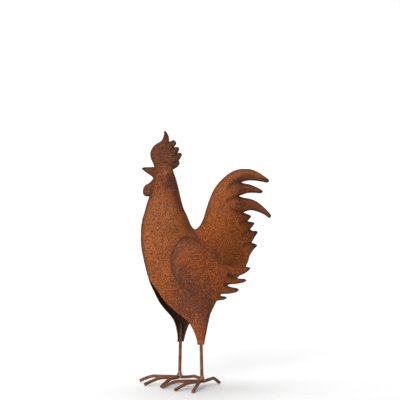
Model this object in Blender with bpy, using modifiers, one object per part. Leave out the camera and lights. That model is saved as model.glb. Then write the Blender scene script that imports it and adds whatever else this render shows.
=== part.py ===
"""Rusted sheet-steel rooster on two rod legs, a garden ornament.

Two pressed sheet halves are welded edge to edge along comb, chest, back and tail, and part at
the belly into two open thighs.  A pressed wing plate sits on each side.  A rod leg runs up into
each thigh and stands on four bent rod toes, held by a brazed fillet.

Frame: X towards the tail, Y across (the left side is at -Y), Z up.  The origin is on the ground,
midway between the legs.
"""
import math

import bmesh
import bpy
import numpy as np
from mathutils import Matrix, Vector
from mathutils.bvhtree import BVHTree
from mathutils.geometry import delaunay_2d_cdt

# Driving sizes in metres
HEIGHT = 0.4687              # ground to the tip of the comb
SHEET = 0.0011               # thickness of the steel sheet
ROD = 0.006                  # diameter of the leg and toe rods
HUB_SPACING = 0.067          # between the two legs, at the feet
HUB_HEIGHT = 0.0123          # toe rod centres above the ground, at the leg
TOE_FRONT = 0.073            # leg axis to the end of a front toe
TOE_BACK = 0.050             # leg axis to the end of the back toe
WELD_RADIUS = 0.0062         # brazed fillet round the leg, on the toes
WELD_HEIGHT = 0.0082
FIT_GAP = 0.0003             # between pieces that touch
LEG_INSIDE = 0.036           # length of rod inside the thigh

# Angles in degrees
FOOT_TURN = 10.5             # each foot is turned outwards
SEAM_SLOPE = 50.0            # pressing angle at the welded seam
THIGH_SLOPE = 72.0           # pressing angle along the open thigh
WING_SLOPE = 34.0            # pressing angle along the wing's edge
SMOOTH_ANGLE = 50.0          # a rod's faces look round where they turn less than this

# Settings of the filling, and the spread of the rays that look for the thigh's wall
INSIDE_ONLY = 1              # triangles inside the outline only
SAME_POINT = 1e-6
HEM = 0.0001                 # the lowest ray is this far above the thigh's end, in metres
RAYS_UP = 25
RAYS_ACROSS = 9

# The figure is drawn in units of its own height, one unit being HEIGHT / DRAWN
DRAWN = 468.7
UNIT = HEIGHT / DRAWN
LEG_DRAWN = 33.5             # leg offset from the seam plane, in drawn units
LEG_UNIT = HUB_SPACING / 2 / LEG_DRAWN

# A rod has this many sides, one of them flat underneath; ROD_FLAT is from its axis to a side
ROD_SIDES = 8
ROD_FLAT = ROD / 2 * math.cos(math.pi / ROD_SIDES)
WELD_SIDES = 12
WELD_STEPS = 4               # along the fillet's hollow
WELD_LIP = 0.0006            # rim thickness of the fillet, in metres
MERGE = 0.00005              # corners closer than this are one, in metres

# Mesh spacing in drawn units
BODY_STEP = 10.5
EDGE_STEP = 9.0
WING_STEP = 9.5
WING_EDGE_STEP = 8.0
# Shares of the mesh spacing
GRID_FROM_EDGE = 0.45        # grid points keep this far from the outline
GRID_FROM_LINE = 0.60        # and this far from a pressed line
LINE_FROM_EDGE = 0.22        # a pressed line's points keep this far from the outline
LINE_STEP = 0.90             # between the points of a pressed line

# Pressing of the skins, in drawn units
THIGH_FROM = 150.0           # below this height the slope turns into the thigh's
THIGH_BLEND = 50.0           # over this much height
BODY_FADE = 3.0              # pressed lines fade out where the bulge is less than this
WING_FADE = 2.0
LEAST_BULGE = 0.35           # of the skin off the seam plane, away from the seam

# Seam outline (x, z), one smooth stretch from corner to corner, clockwise from the front split
SEAM = [
    [(-99, 205), (-105.5, 225), (-109.8, 241), (-113.5, 257), (-114.8, 273), (-114.3, 290),
     (-111.4, 307), (-105.7, 323), (-99.7, 340), (-95.5, 349)],
    [(-95.5, 349), (-102.5, 349), (-108.5, 352), (-110.3, 358), (-108.5, 364.5), (-104, 369.5),
     (-95.3, 374), (-86.7, 381.2)],
    [(-86.7, 381.2), (-88.5, 384.3), (-94.5, 387.8), (-102, 391.8), (-113.5, 399.3)],
    [(-113.5, 399.3), (-108.5, 401.4), (-98, 402.1), (-84.5, 402.6)],
    [(-84.5, 402.6), (-87.3, 409.3), (-91.2, 416), (-93.5, 424.5), (-92, 432), (-85.6, 440.4),
     (-77, 446), (-68.3, 450.6), (-63.9, 457.3), (-62.4, 462.5), (-62.9, 466.4)],
    [(-62.9, 466.4), (-60.6, 468.7), (-57.8, 467.9), (-55, 464.6), (-51.6, 459.5), (-50, 449)],
    [(-50, 449), (-44.5, 451.5), (-38, 452.3), (-33.8, 446.5), (-39.5, 439.3)],
    [(-39.5, 439.3), (-34.5, 440), (-29.6, 439.9), (-26.9, 435.8), (-31.3, 428.8)],
    [(-31.3, 428.8), (-27, 429.8), (-22.9, 429.3), (-20.6, 426), (-27.8, 415.1)],
    [(-27.8, 415.1), (-26, 410), (-31.2, 403.5), (-42, 397.7)],
    [(-42, 397.7), (-34.8, 382), (-27.9, 362), (-22.5, 343), (-16.9, 328), (-8.3, 313),
     (-1.7, 300), (4, 292), (10.5, 288.3), (17.5, 291.5), (24, 298), (31, 310), (38, 328.4),
     (47.3, 348.3), (57.6, 365), (70.6, 377.8), (85.2, 388.6), (101, 396.8), (116.5, 401.2),
     (133.5, 402.4), (149.6, 401.5), (165, 397), (181, 389.6), (194, 382.4), (195.2, 379.3)],
    [(195.2, 379.3), (191, 376.6), (175, 378.3), (158, 379.8), (140, 379.8), (123.5, 376.4)],
    [(123.5, 376.4), (131, 374.8), (146, 372.4), (160, 368.2), (175, 362.6), (179.1, 359)],
    [(179.1, 359), (174.7, 355.8), (158, 356.4), (138, 355.6), (117.5, 350)],
    [(117.5, 350), (131, 347.1), (150, 344.2), (166, 338.3), (180.8, 329.2), (195.8, 317.8),
     (201.2, 311.7)],
    [(201.2, 311.7), (196.5, 307.6), (182.5, 314.2), (165, 320.2), (146, 322.8), (129, 319)],
    [(129, 319), (141, 315.2), (149, 312), (145.3, 307), (139.7, 301.8)],
    [(139.7, 301.8), (150.5, 300.6), (157.4, 298.2), (152.8, 292.2), (146, 286.2)],
    [(146, 286.2), (153, 283.4), (161, 283.4), (165.3, 280.8), (157.4, 270.5), (150, 260.9)],
    [(150, 260.9), (157, 258.8), (164.2, 255.1), (156, 248), (145.6, 236.5), (140.5, 224),
     (131, 209.5), (113, 193.5), (90, 181)],
]
# Open edges of the belly and thigh (x, z, offset from the seam plane)
REAR_EDGE = [(90, 181, 0), (73, 169.5, 6.5), (54, 156, 13), (37.5, 141, 19.5), (26.5, 128, 23.5),
             (16.3, 108, 28), (11, 94, 30), (6.6, 77.6, 30.8)]
FRONT_EDGE = [(-6.8, 77.6, 30.6), (-8, 89, 28.7), (-12, 102, 26.1), (-19.5, 115.7, 23.5),
              (-31.1, 128, 19.6), (-48.2, 141, 15.2), (-66.1, 157.5, 10.6), (-78.4, 174, 7.2),
              (-92.7, 194.3, 3.3), (-99, 205, 0)]

# Pressed lines of the body: points, rise in drawn units, half width
BODY_LINES = [
    ([(-84, 404.5), (-76, 408.5), (-66, 411.5), (-55, 411), (-45, 405), (-40, 400)], -2.2, 3.0),
    ([(122, 389.5), (140, 390.5), (160, 388.8), (178, 384), (190, 380)], 1.2, 5.0),
    ([(116, 361.5), (136, 364.3), (158, 362), (174, 358.8)], 1.2, 4.5),
    ([(114, 334), (138, 334.8), (160, 330), (178, 321.8), (194, 312.6)], 1.2, 4.5),
    ([(92, 380), (108, 378), (123.5, 376.4)], -3.2, 5.0),
    ([(84, 352), (102, 349.5), (117.5, 350)], -3.2, 5.0),
    ([(94, 322), (112, 319), (129, 319)], -2.4, 5.0),
    ([(-0.2, 80), (0.4, 90), (1.2, 100)], 0.0, 1.0),
]
EYE = (-60.0, 394.0)
EYE_RADIUS = 3.4
EYE_RISE = 1.6

# Share of the full pressing depth: place, reach, share
BODY_DEPTH = [
    ((-62, 436), 24, 0.52),
    ((-30, 430), 14, 0.60),
    ((-100, 360), 12, 0.70),
    ((-66, 392), 16, 1.20),
    ((-60, 350), 34, 1.08),
    ((-50, 265), 60, 1.15),
    ((110, 240), 55, 0.62),
    ((60, 350), 60, 0.90),
]

# Wing outline (x, z): shoulder, feather tips from the top down, lower edge
WING = [
    [(112.5, 215.4), (101, 217.6), (88, 217), (66, 219.8), (44, 229), (24, 243), (6, 255.5),
     (-7, 263.5), (-18, 269.5), (-30, 274), (-41, 274.3), (-51, 271), (-58.5, 264),
     (-64.5, 254.5), (-68, 244), (-69, 233), (-67.5, 221), (-63.5, 209), (-55.5, 197),
     (-43, 185.5), (-28, 176), (-10, 168.5), (10, 162), (29.4, 157), (43, 156.4), (54, 158),
     (58, 160.8)],
    [(58, 160.8), (53.5, 163.8), (46, 164.8), (36, 169.2)],
    [(36, 169.2), (48, 168.2), (66, 168.8), (79, 171.6), (84, 174.7)],
    [(84, 174.7), (78.5, 178.2), (66, 180.7), (51, 185.6)],
    [(51, 185.6), (60, 185.7), (74, 185.9), (89, 187.2), (98, 189.2), (102.5, 192.4)],
    [(102.5, 192.4), (97, 194.8), (83, 196.2), (61, 201.9)],
    [(61, 201.9), (72, 201.4), (87, 201.8), (100, 206), (108.5, 210.9), (112.5, 215.4)],
]
WING_TIP_OFFSET = 40.0       # of the feather tips from the seam plane, in drawn units
WING_FREE_FROM = 12.0        # behind this x the wing leaves the body
WING_FREE_BY = 75.0          # and here it stands fully clear
WING_LAY = 1.35              # room for the wing on the body, as a share of sheet and gap
WALL_LIMIT = 2.0             # widest that a steep wall is measured across, as a share of the sheet
WING_LINES = [
    ([(-34, 217), (-12, 214), (14, 210), (36, 205.5), (55, 202.6)], -1.2, 4.0),
    ([(-40, 200), (-16, 198), (8, 195), (30, 189.5), (47, 185.4)], -1.2, 4.0),
    ([(-30, 186), (-14, 184), (4, 179.5), (22, 174), (37, 168.7)], -1.8, 4.0),
    ([(-18, 226), (6, 222), (30, 216.5), (56, 211), (82, 209.5), (105, 214)], 0.8, 4.0),
    ([(-14, 206), (10, 202.5), (34, 197), (58, 194.5), (80, 191.8), (98, 192.4)], 0.8, 4.0),
    ([(-14, 190.5), (8, 187), (28, 181), (46, 176.5), (64, 174.6), (79, 175.2)], 0.8, 4.0),
    ([(-12, 176), (6, 171.5), (24, 165.5), (40, 162.6), (52, 162)], 0.6, 3.5),
]

# Toes of each foot: name, turn outwards from the foot's axis in degrees, length, share of the
# length where the toe bends down, and in rod diameters the height of the arch, of the start
# above the hub's height, and of the tip above the ground
TOES = {
    "left": [("outer", 28.5, TOE_FRONT * 1.06, 0.26, 0.00, -0.20, 0.0),
             ("middle", -1.0, TOE_FRONT, 0.50, -0.13, -0.20, 0.0),
             ("inner", -33.5, TOE_FRONT * 1.04, 0.62, 0.03, -0.15, 0.0),
             ("back", 180.0, TOE_BACK, 0.64, 0.10, -0.40, 0.0)],
    "right": [("outer", 33.0, TOE_FRONT * 1.03, 0.66, 0.07, -0.03, 0.2),
              ("middle", -2.0, TOE_FRONT * 1.02, 0.56, 0.00, -0.13, 0.0),
              ("inner", -35.0, TOE_FRONT, 0.50, 0.00, -0.10, 0.0),
              ("back", 180.0, TOE_BACK, 0.60, -0.23, -0.20, 0.0)],
}
START_LIFT = 5               # place of the start's height in a toe's list
TOE_STEPS = 4                # points before the bend, and as many in the fall
TOE_SOLE = 0.8               # of the rod's diameter lies level at the tip
TOE_CURL = 0.25              # how far the fall hangs below a plain curve


def clear_scene():
    for item in list(bpy.data.objects):
        bpy.data.objects.remove(item, do_unlink=True)


def new_collection(name):
    group = bpy.data.collections.new(name)
    bpy.context.scene.collection.children.link(group)
    return group


def material(name, colour, roughness, metallic):
    skin = bpy.data.materials.new(name)
    skin.use_nodes = True
    shader = skin.node_tree.nodes["Principled BSDF"]
    shader.inputs["Base Color"].default_value = (*colour, 1.0)
    shader.inputs["Roughness"].default_value = roughness
    shader.inputs["Metallic"].default_value = metallic
    return skin


def smooth_stretch(points, step):
    """Points no further apart than step on a curve through the given ones, without the last."""
    pts = [np.array(p, dtype=float) for p in points]
    pts = [2 * pts[0] - pts[1]] + pts + [2 * pts[-1] - pts[-2]]
    out = []
    for before, start, end, after in zip(pts, pts[1:], pts[2:], pts[3:]):
        knots = [0.0]
        for one, two in ((before, start), (start, end), (end, after)):
            knots.append(knots[-1] + math.sqrt(np.linalg.norm((two - one)[:2])))
        t0, t1, t2, t3 = knots
        count = max(1, math.ceil(np.linalg.norm((end - start)[:2]) / step))
        for i in range(count):
            t = t1 + (t2 - t1) * i / count
            a1 = (t1 - t) / (t1 - t0) * before + (t - t0) / (t1 - t0) * start
            a2 = (t2 - t) / (t2 - t1) * start + (t - t1) / (t2 - t1) * end
            a3 = (t3 - t) / (t3 - t2) * end + (t - t2) / (t3 - t2) * after
            b1 = (t2 - t) / (t2 - t0) * a1 + (t - t0) / (t2 - t0) * a2
            b2 = (t3 - t) / (t3 - t1) * a2 + (t - t1) / (t3 - t1) * a3
            out.append((t2 - t) / (t2 - t1) * b1 + (t - t1) / (t2 - t1) * b2)
    return out


def line_distance(points, line):
    """Distance of each point from a polyline."""
    best = np.full(len(points), np.inf)
    for start, end in zip(line, line[1:]):
        start = np.array(start, dtype=float)
        run = np.array(end, dtype=float) - start
        share = np.clip((points - start) @ run / (run @ run), 0, 1)
        best = np.minimum(best, np.linalg.norm(points - start - share[:, None] * run, axis=1))
    return best


def inside(points, loop):
    """Which points lie inside a closed loop."""
    found = np.zeros(len(points), dtype=bool)
    x, z = points[:, 0], points[:, 1]
    for (x0, z0), (x1, z1) in zip(loop, np.roll(loop, -1, axis=0)):
        crosses = (z0 > z) != (z1 > z)
        with np.errstate(divide="ignore", invalid="ignore"):
            where = x0 + (z - z0) * (x1 - x0) / (z1 - z0)
        found ^= crosses & (x < where)
    return found


def fill_outline(loop, step, lines):
    """Triangles that fill a closed loop, with a regular spread of points and the pressed lines."""
    low, high = loop.min(axis=0), loop.max(axis=0)
    row = step * math.sqrt(3) / 2
    grid = []
    for j in range(int((high[1] - low[1]) / row) + 2):
        for i in range(int((high[0] - low[0]) / step) + 2):
            grid.append((low[0] + (i + 0.5 * (j % 2)) * step, low[1] + j * row))
    grid = np.array(grid)
    closed = np.vstack([loop, loop[:1]])
    grid = grid[inside(grid, loop) & (line_distance(grid, closed) > GRID_FROM_EDGE * step)]
    count = len(loop)
    ring = [(i, (i + 1) % count) for i in range(count)]
    chosen = np.zeros((0, 2))
    creases = []
    for line, *_ in lines:
        marks = np.array(smooth_stretch(line, LINE_STEP * step) + [np.array(line[-1], dtype=float)])
        far = line_distance(marks, closed) > LINE_FROM_EDGE * step
        marks = marks[inside(marks, loop) & far]
        grid = grid[line_distance(grid, marks) > GRID_FROM_LINE * step]
        first = count + len(chosen)
        creases += [(first + i, first + i + 1) for i in range(len(marks) - 1)]
        chosen = np.vstack([chosen, marks])
    points = np.vstack([loop, chosen, grid])
    while True:
        faces = fill_with_triangles(points, ring + creases)
        split = inner_rim_edges(faces, ring)
        if not split:
            return points, same_turn(points, faces)
        points = np.vstack([points, [points[list(pair)].mean(axis=0) for pair in split]])


def fill_with_triangles(points, edges):
    result = delaunay_2d_cdt([Vector(p) for p in points], edges, [], INSIDE_ONLY, SAME_POINT)
    if len(result[0]) != len(points):
        raise ValueError("outline points fall together")
    return np.array([list(face) for face in result[2]])


def inner_rim_edges(faces, ring):
    """Edges across the sheet between two rim points: the two skins would share them."""
    rim = {frozenset(pair) for pair in ring}
    found = set()
    for face in faces:
        for i in range(3):
            pair = frozenset((int(face[i]), int(face[(i + 1) % 3])))
            if max(pair) < len(ring) and pair not in rim:
                found.add(pair)
    return sorted(found, key=sorted)


def same_turn(points, faces):
    """The triangles, all turned the same way round."""
    flip = doubled_area(points, faces) < 0
    faces[flip] = faces[flip][:, ::-1]
    return faces


def doubled_area(points, faces):
    a, b, c = points[faces[:, 0]], points[faces[:, 1]], points[faces[:, 2]]
    return (b[:, 0] - a[:, 0]) * (c[:, 1] - a[:, 1]) - (b[:, 1] - a[:, 1]) * (c[:, 0] - a[:, 0])


def stiffness(points, faces):
    """Spring matrix and area share of a triangle mesh, for a stretched skin."""
    count = len(points)
    springs = np.zeros((count, count))
    share = np.zeros(count)
    for corner in range(3):
        i, j, k = faces[:, corner], faces[:, (corner + 1) % 3], faces[:, (corner + 2) % 3]
        one, two = points[j] - points[i], points[k] - points[i]
        cross = np.abs(one[:, 0] * two[:, 1] - one[:, 1] * two[:, 0])
        weight = 0.5 * (one * two).sum(axis=1) / cross
        np.add.at(springs, (j, k), -weight)
        np.add.at(springs, (k, j), -weight)
        np.add.at(springs, (j, j), weight)
        np.add.at(springs, (k, k), weight)
        np.add.at(share, i, cross / 6)
    return springs, share


def slope_of(points, faces, values):
    """Slope of a value at each point, averaged over the triangles round it."""
    a, b, c = points[faces[:, 0]], points[faces[:, 1]], points[faces[:, 2]]
    twice = doubled_area(points, faces)
    va, vb, vc = (values[faces[:, n]][:, None] for n in range(3))
    edges = va * (c - b) + vb * (a - c) + vc * (b - a)
    lean = np.stack([-edges[:, 1], edges[:, 0]], axis=1)
    total = np.zeros((len(points), 2))
    weight = np.zeros(len(points))
    for corner in range(3):
        np.add.at(total, faces[:, corner], lean)
        np.add.at(weight, faces[:, corner], twice)
    return total / weight[:, None]


def pressed_height(points, faces, rim, rim_offset, angle):
    """Offset of a pressed skin held along its rim, with arcs of the given edge angle across it."""
    springs, share = stiffness(points, faces)
    free = np.setdiff1d(np.arange(len(points)), rim)
    solve = np.linalg.solve
    bulge = np.zeros(len(points))
    bulge[free] = solve(springs[np.ix_(free, free)], share[free])
    base = np.zeros(len(points))
    base[rim] = rim_offset
    base[free] = solve(springs[np.ix_(free, free)], -springs[np.ix_(free, rim)] @ rim_offset)
    lean = slope_of(points, faces, bulge)
    half_width = np.sqrt(2 * bulge + (lean ** 2).sum(axis=1))
    middle = np.clip(2 * bulge / np.maximum(half_width, 1e-9) ** 2, 0, 1)
    sine, cosine = np.sin(angle), np.cos(angle)
    arc = half_width * (np.sqrt(1 - (1 - middle) * sine ** 2) - cosine) / sine
    return base, arc


def smooth_share(points, places):
    """Weighted share of the full depth at each point: 1 away from the named places."""
    total = np.ones(len(points))
    for place, reach, share in places:
        gap = np.linalg.norm(points - np.array(place, dtype=float), axis=1)
        total *= 1 + (share - 1) * np.exp(-(gap / reach) ** 2)
    return total


def pressed_lines(points, lines):
    total = np.zeros(len(points))
    for line, rise, width in lines:
        total += rise * np.exp(-(line_distance(points, line) / width) ** 2)
    return total


def body_skin():
    """The left half's outer skin: points, triangles, offset, seam points and open edge points."""
    seam = []
    for stretch in SEAM:
        seam += smooth_stretch(stretch, EDGE_STEP)
    rear = smooth_stretch(REAR_EDGE, EDGE_STEP)
    bottom = smooth_stretch([REAR_EDGE[-1], FRONT_EDGE[0]], EDGE_STEP / 2)
    front = smooth_stretch(FRONT_EDGE, EDGE_STEP)
    opening = rear + bottom + front
    loop = np.array([p[:2] for p in seam] + [p[:2] for p in opening])
    offset = np.array([0.0] * len(seam) + [p[2] for p in opening])
    points, faces = fill_outline(loop, BODY_STEP, BODY_LINES)
    rim = np.arange(len(loop))
    hem = len(seam) + len(rear)
    held = np.setdiff1d(rim, rim[hem + 1:hem + len(bottom)])
    low = np.clip((THIGH_FROM - points[:, 1]) / THIGH_BLEND, 0, 1)
    angle = np.radians(SEAM_SLOPE + (THIGH_SLOPE - SEAM_SLOPE) * low)
    base, arc = pressed_height(points, faces, held, offset[held] * LEG_UNIT / UNIT, angle)
    height = base + arc * smooth_share(points, BODY_DEPTH)
    fade = np.minimum(arc / BODY_FADE, 1)
    height += fade * pressed_lines(points, BODY_LINES)
    eye = np.linalg.norm(points - np.array(EYE), axis=1) / EYE_RADIUS
    height += EYE_RISE * np.exp(-eye ** 2)
    closed = rim[offset <= 0]
    height[len(loop):] = np.maximum(height[len(loop):], LEAST_BULGE)
    return points, faces, height, closed, len(loop)


def wing_skin(body_tree):
    """The left wing's outer skin, lying on the body in front and standing clear behind."""
    ring = []
    for stretch in WING:
        ring += smooth_stretch(stretch, WING_EDGE_STEP)
    loop = np.array(ring)
    points, faces = fill_outline(loop, WING_STEP, WING_LINES)
    rest = np.array([body_offset(body_tree, p) for p in points])
    rest += (SHEET + FIT_GAP) * WING_LAY / UNIT
    away = np.clip((points[:, 0] - WING_FREE_FROM) / (WING_FREE_BY - WING_FREE_FROM), 0, 1)
    away = away * away * (3 - 2 * away)
    edge = np.where(points[:, 0] > WING_FREE_FROM,
                    rest * (1 - away) + np.maximum(rest, WING_TIP_OFFSET) * away, rest)
    rim = np.arange(len(loop))
    angle = np.full(len(points), math.radians(WING_SLOPE))
    base, arc = pressed_height(points, faces, rim, edge[rim], angle)
    fade = np.minimum(arc / WING_FADE, 1)
    height = np.maximum(base + arc, rest) + fade * pressed_lines(points, WING_LINES)
    return points, faces, np.maximum(height, rest), np.zeros(0, dtype=int), len(loop)


def body_offset(tree, point):
    """Offset of the body's outer skin at a place (x, z), in drawn units."""
    start = Vector((point[0] * UNIT, -1.0, point[1] * UNIT))
    hit = tree.ray_cast(start, Vector((0, 1, 0)))[0]
    return 0.0 if hit is None else -hit.y / UNIT


def sheet_mesh(name, skin, side):
    """Closed sheet of true thickness from an outer skin, on side -1 (left) or 1 (right)."""
    points, faces, height, closed, rim_count = skin
    outer = height * UNIT
    lean = slope_of(points, faces, height)
    wall = SHEET * np.minimum(np.sqrt(1 + (lean ** 2).sum(axis=1)), WALL_LIMIT)
    inner = np.maximum(outer - wall, 0)
    back = FIT_GAP / 2
    shared = set(closed.tolist())
    mesh = bmesh.new()
    front_verts, back_verts = [], []
    for (x, z), offset in zip(points * UNIT, outer):
        front_verts.append(mesh.verts.new((x, side * (offset + back), z)))
    for i, (x, z) in enumerate(points * UNIT):
        if i in shared:
            back_verts.append(front_verts[i])
        else:
            back_verts.append(mesh.verts.new((x, side * (inner[i] + back), z)))
    for face in faces:
        mesh.faces.new([front_verts[i] for i in face])
        mesh.faces.new([back_verts[i] for i in reversed(face)])
    for i in range(rim_count):
        j = (i + 1) % rim_count
        corners = []
        for vert in (front_verts[i], front_verts[j], back_verts[j], back_verts[i]):
            if vert not in corners:
                corners.append(vert)
        if len(corners) > 2:
            mesh.faces.new(corners)
    bmesh.ops.recalc_face_normals(mesh, faces=mesh.faces)
    if mesh.calc_volume(signed=True) < 0:
        bmesh.ops.reverse_faces(mesh, faces=mesh.faces)
    bmesh.ops.triangulate(mesh, faces=mesh.faces)
    data = bpy.data.meshes.new(name)
    mesh.to_mesh(data)
    mesh.free()
    return data


def add_object(name, data, skin, group):
    item = bpy.data.objects.new(name, data)
    data.materials.append(skin)
    group.objects.link(item)
    return item


def rod_mesh(name, path, group):
    """A round rod with square ends along a path, as a mesh with welded caps."""
    curve = bpy.data.curves.new(name + "_path", "CURVE")
    curve.dimensions = "3D"
    curve.bevel_depth = ROD / 2
    curve.bevel_resolution = (ROD_SIDES - 4) // 2
    curve.use_fill_caps = True
    spline = curve.splines.new("POLY")
    spline.points.add(len(path) - 1)
    for knot, place in zip(spline.points, path):
        knot.co = (*place, 1.0)
        knot.tilt = math.pi / ROD_SIDES
    guide = bpy.data.objects.new(name + "_path", curve)
    group.objects.link(guide)
    bpy.context.view_layer.update()
    graph = bpy.context.evaluated_depsgraph_get()
    data = bpy.data.meshes.new_from_object(guide.evaluated_get(graph))
    bpy.data.objects.remove(guide, do_unlink=True)
    mesh = bmesh.new()
    mesh.from_mesh(data)
    bmesh.ops.remove_doubles(mesh, verts=mesh.verts, dist=MERGE)
    bmesh.ops.recalc_face_normals(mesh, faces=mesh.faces)
    return mesh, data


def finish_rod(mesh, data):
    bmesh.ops.triangulate(mesh, faces=mesh.faces)
    mesh.to_mesh(data)
    mesh.free()
    data.shade_smooth()
    data.set_sharp_from_angle(angle=math.radians(SMOOTH_ANGLE))
    return data


def cut_away(mesh, place, normal):
    """Remove what lies on the normal's side of a plane, and close the cut."""
    geometry = mesh.verts[:] + mesh.edges[:] + mesh.faces[:]
    cut = bmesh.ops.bisect_plane(mesh, geom=geometry, dist=SAME_POINT, plane_co=place,
                                 plane_no=normal, clear_outer=True)
    edges = [part for part in cut["geom_cut"] if isinstance(part, bmesh.types.BMEdge)]
    if edges:
        bmesh.ops.contextual_create(mesh, geom=edges)


def toe_path(length, bend_share, *lifts):
    """Side view of a toe: distance from the leg axis and height of the rod's centre."""
    arch, start_lift, tip_lift = (lift * ROD for lift in lifts)
    start = ROD / 2 + FIT_GAP
    level = start + ROD / 2
    bend = length * bend_share
    ground = ROD_FLAT + tip_lift
    path = [(start, HUB_HEIGHT + start_lift)]
    for i in range(TOE_STEPS):
        share = i / TOE_STEPS
        path.append((level + (bend - level) * share,
                     HUB_HEIGHT + start_lift * (1 - share) + arch * math.sin(math.pi / 2 * share)))
    fall = HUB_HEIGHT + arch - ground
    for i in range(TOE_STEPS):
        share = i / TOE_STEPS
        path.append((bend + (length - ROD - bend) * share,
                     ground + fall * (1 - share ** 2) * (1 - TOE_CURL * share)))
    path += [(length - ROD, ground), (length - TOE_SOLE * ROD, ground), (length, ground)]
    return path


def build_foot(side, word, hub, steel, group):
    """The four toes of one foot, each parted from its neighbours halfway between them."""
    axis = 180.0 - side * FOOT_TURN
    headings = [axis - side * turn for _, turn, *_ in TOES[word]]
    for heading, (label, _, length, *shape) in zip(headings, TOES[word]):
        along = Vector((math.cos(math.radians(heading)), math.sin(math.radians(heading)), 0))
        path = [hub + along * out + Vector((0, 0, up)) for out, up in toe_path(length, *shape)]
        mesh, data = rod_mesh(f"toe_{word}_{label}", path, group)
        for other in headings:
            apart = (other - heading + 180) % 360 - 180
            if other != heading:
                between = math.radians(heading + apart / 2)
                normal = Vector((-math.sin(between), math.cos(between), 0))
                normal *= math.copysign(1, apart)
                cut_away(mesh, hub - normal * FIT_GAP / 2, normal)
        add_object(f"toe_{word}_{label}", finish_rod(mesh, data), steel, group)


def build_weld(word, foot, run, skin, group):
    """The fillet round a leg, on its toes: a turned ring with a hollow outer side."""
    lift = ROD * max(toe[START_LIFT] for toe in TOES[word])
    low = HUB_HEIGHT + lift + ROD_FLAT + FIT_GAP
    middle = low + WELD_HEIGHT / 2
    lean = math.hypot(run.x, run.y)
    inner = (ROD / 2 + FIT_GAP) / math.cos(math.pi / WELD_SIDES) + lean * WELD_HEIGHT / 2
    profile = [(inner, low + WELD_HEIGHT), (inner + WELD_LIP, low + WELD_HEIGHT)]
    for i in range(WELD_STEPS):
        turn = math.pi / 2 * (i + 1) / WELD_STEPS
        profile.append((WELD_RADIUS - (WELD_RADIUS - inner - WELD_LIP) * math.cos(turn),
                        low + WELD_HEIGHT - (WELD_HEIGHT - WELD_LIP) * math.sin(turn)))
    profile += [(WELD_RADIUS, low), (inner, low)]
    count = len(profile)
    data = bpy.data.meshes.new(f"weld_{word}")
    data.from_pydata([(r, 0, z) for r, z in profile],
                     [(i, (i + 1) % count) for i in range(count)], [])
    weld = add_object(f"weld_{word}", data, skin, group)
    weld.location = foot + Vector((run.x, run.y, 0)) * middle
    screw = weld.modifiers.new("turn", "SCREW")
    screw.steps = WELD_SIDES
    screw.render_steps = WELD_SIDES
    screw.use_merge_vertices = True
    screw.merge_threshold = MERGE
    screw.use_normal_calculate = True


def leg_line(body_tree, side):
    """Leg axis: its foot, and its highest point, as deep in the thigh's trough as it can lie."""
    bottom = REAR_EDGE[-1][1] * UNIT
    trough_x = (REAR_EDGE[-1][0] + FRONT_EDGE[0][0]) / 2 * UNIT
    foot_y = HUB_SPACING / 2
    lean = []
    half_side = ROD_FLAT * math.tan(math.pi / ROD_SIDES)
    for z in np.linspace(bottom + HEM, bottom + LEG_INSIDE, RAYS_UP):
        for across in np.linspace(-ROD_FLAT, ROD_FLAT, RAYS_ACROSS):
            start = Vector((trough_x * z / bottom + across, 0, z))
            hit = body_tree.ray_cast(start, Vector((0, -1, 0)))[0]
            if hit is not None:
                reach = ROD_FLAT - max(0.0, abs(across) - half_side)
                lean.append((-hit.y - FIT_GAP - reach - foot_y) / z)
    top = bottom + LEG_INSIDE
    return (Vector((0, side * foot_y, 0)),
            Vector((trough_x * top / bottom, side * (foot_y + min(lean) * top), top)))


def build():
    clear_scene()
    group = new_collection("rooster")
    steel = {name: material(name, colour, roughness, 0.25) for name, colour, roughness in (
        ("rust_body", (0.30, 0.10, 0.035), 0.85),
        ("rust_wing", (0.26, 0.085, 0.032), 0.85),
        ("rust_rod", (0.17, 0.065, 0.035), 0.75),
        ("braze", (0.38, 0.16, 0.05), 0.6))}
    skin = body_skin()
    trees = {}
    for side, word in ((-1, "left"), (1, "right")):
        data = sheet_mesh(f"half_{word}", skin, side)
        half = add_object(f"half_{word}", data, steel["rust_body"].copy(), group)
        if side < 0:
            mesh = bmesh.new()
            mesh.from_mesh(half.data)
            trees["left"] = BVHTree.FromBMesh(mesh)
            mesh.free()
    wing = wing_skin(trees["left"])
    for side, word in ((-1, "left"), (1, "right")):
        add_object(f"wing_{word}", sheet_mesh(f"wing_{word}", wing, side),
                   steel["rust_wing"].copy(), group)
        foot, top = leg_line(trees["left"], side)
        run = (top - foot) / top.z
        path = [foot + run * (HUB_HEIGHT - ROD / 2), top]
        mesh, data = rod_mesh(f"leg_{word}", path, group)
        add_object(f"leg_{word}", finish_rod(mesh, data), steel["rust_rod"].copy(), group)
        hub = foot + run * HUB_HEIGHT
        hub.z = 0
        build_foot(side, word, hub, steel["rust_rod"].copy(), group)
        build_weld(word, foot, run, steel["braze"].copy(), group)


build()
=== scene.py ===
"""Looks of the rusted sheet-steel rooster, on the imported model's frame.

The sheet halves and the wings are pressed again on a fine mesh from the same outlines as in the
part, with their small relief. The rods are round, and the welds run as melted metal does.
Drawn sizes are in units of the outline drawing, one millimetre each at the part's own height.
"""
import math
from collections import namedtuple

import bmesh
import bpy
import numpy as np
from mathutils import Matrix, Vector, noise
from mathutils.bvhtree import BVHTree
from mathutils.geometry import delaunay_2d_cdt


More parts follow.
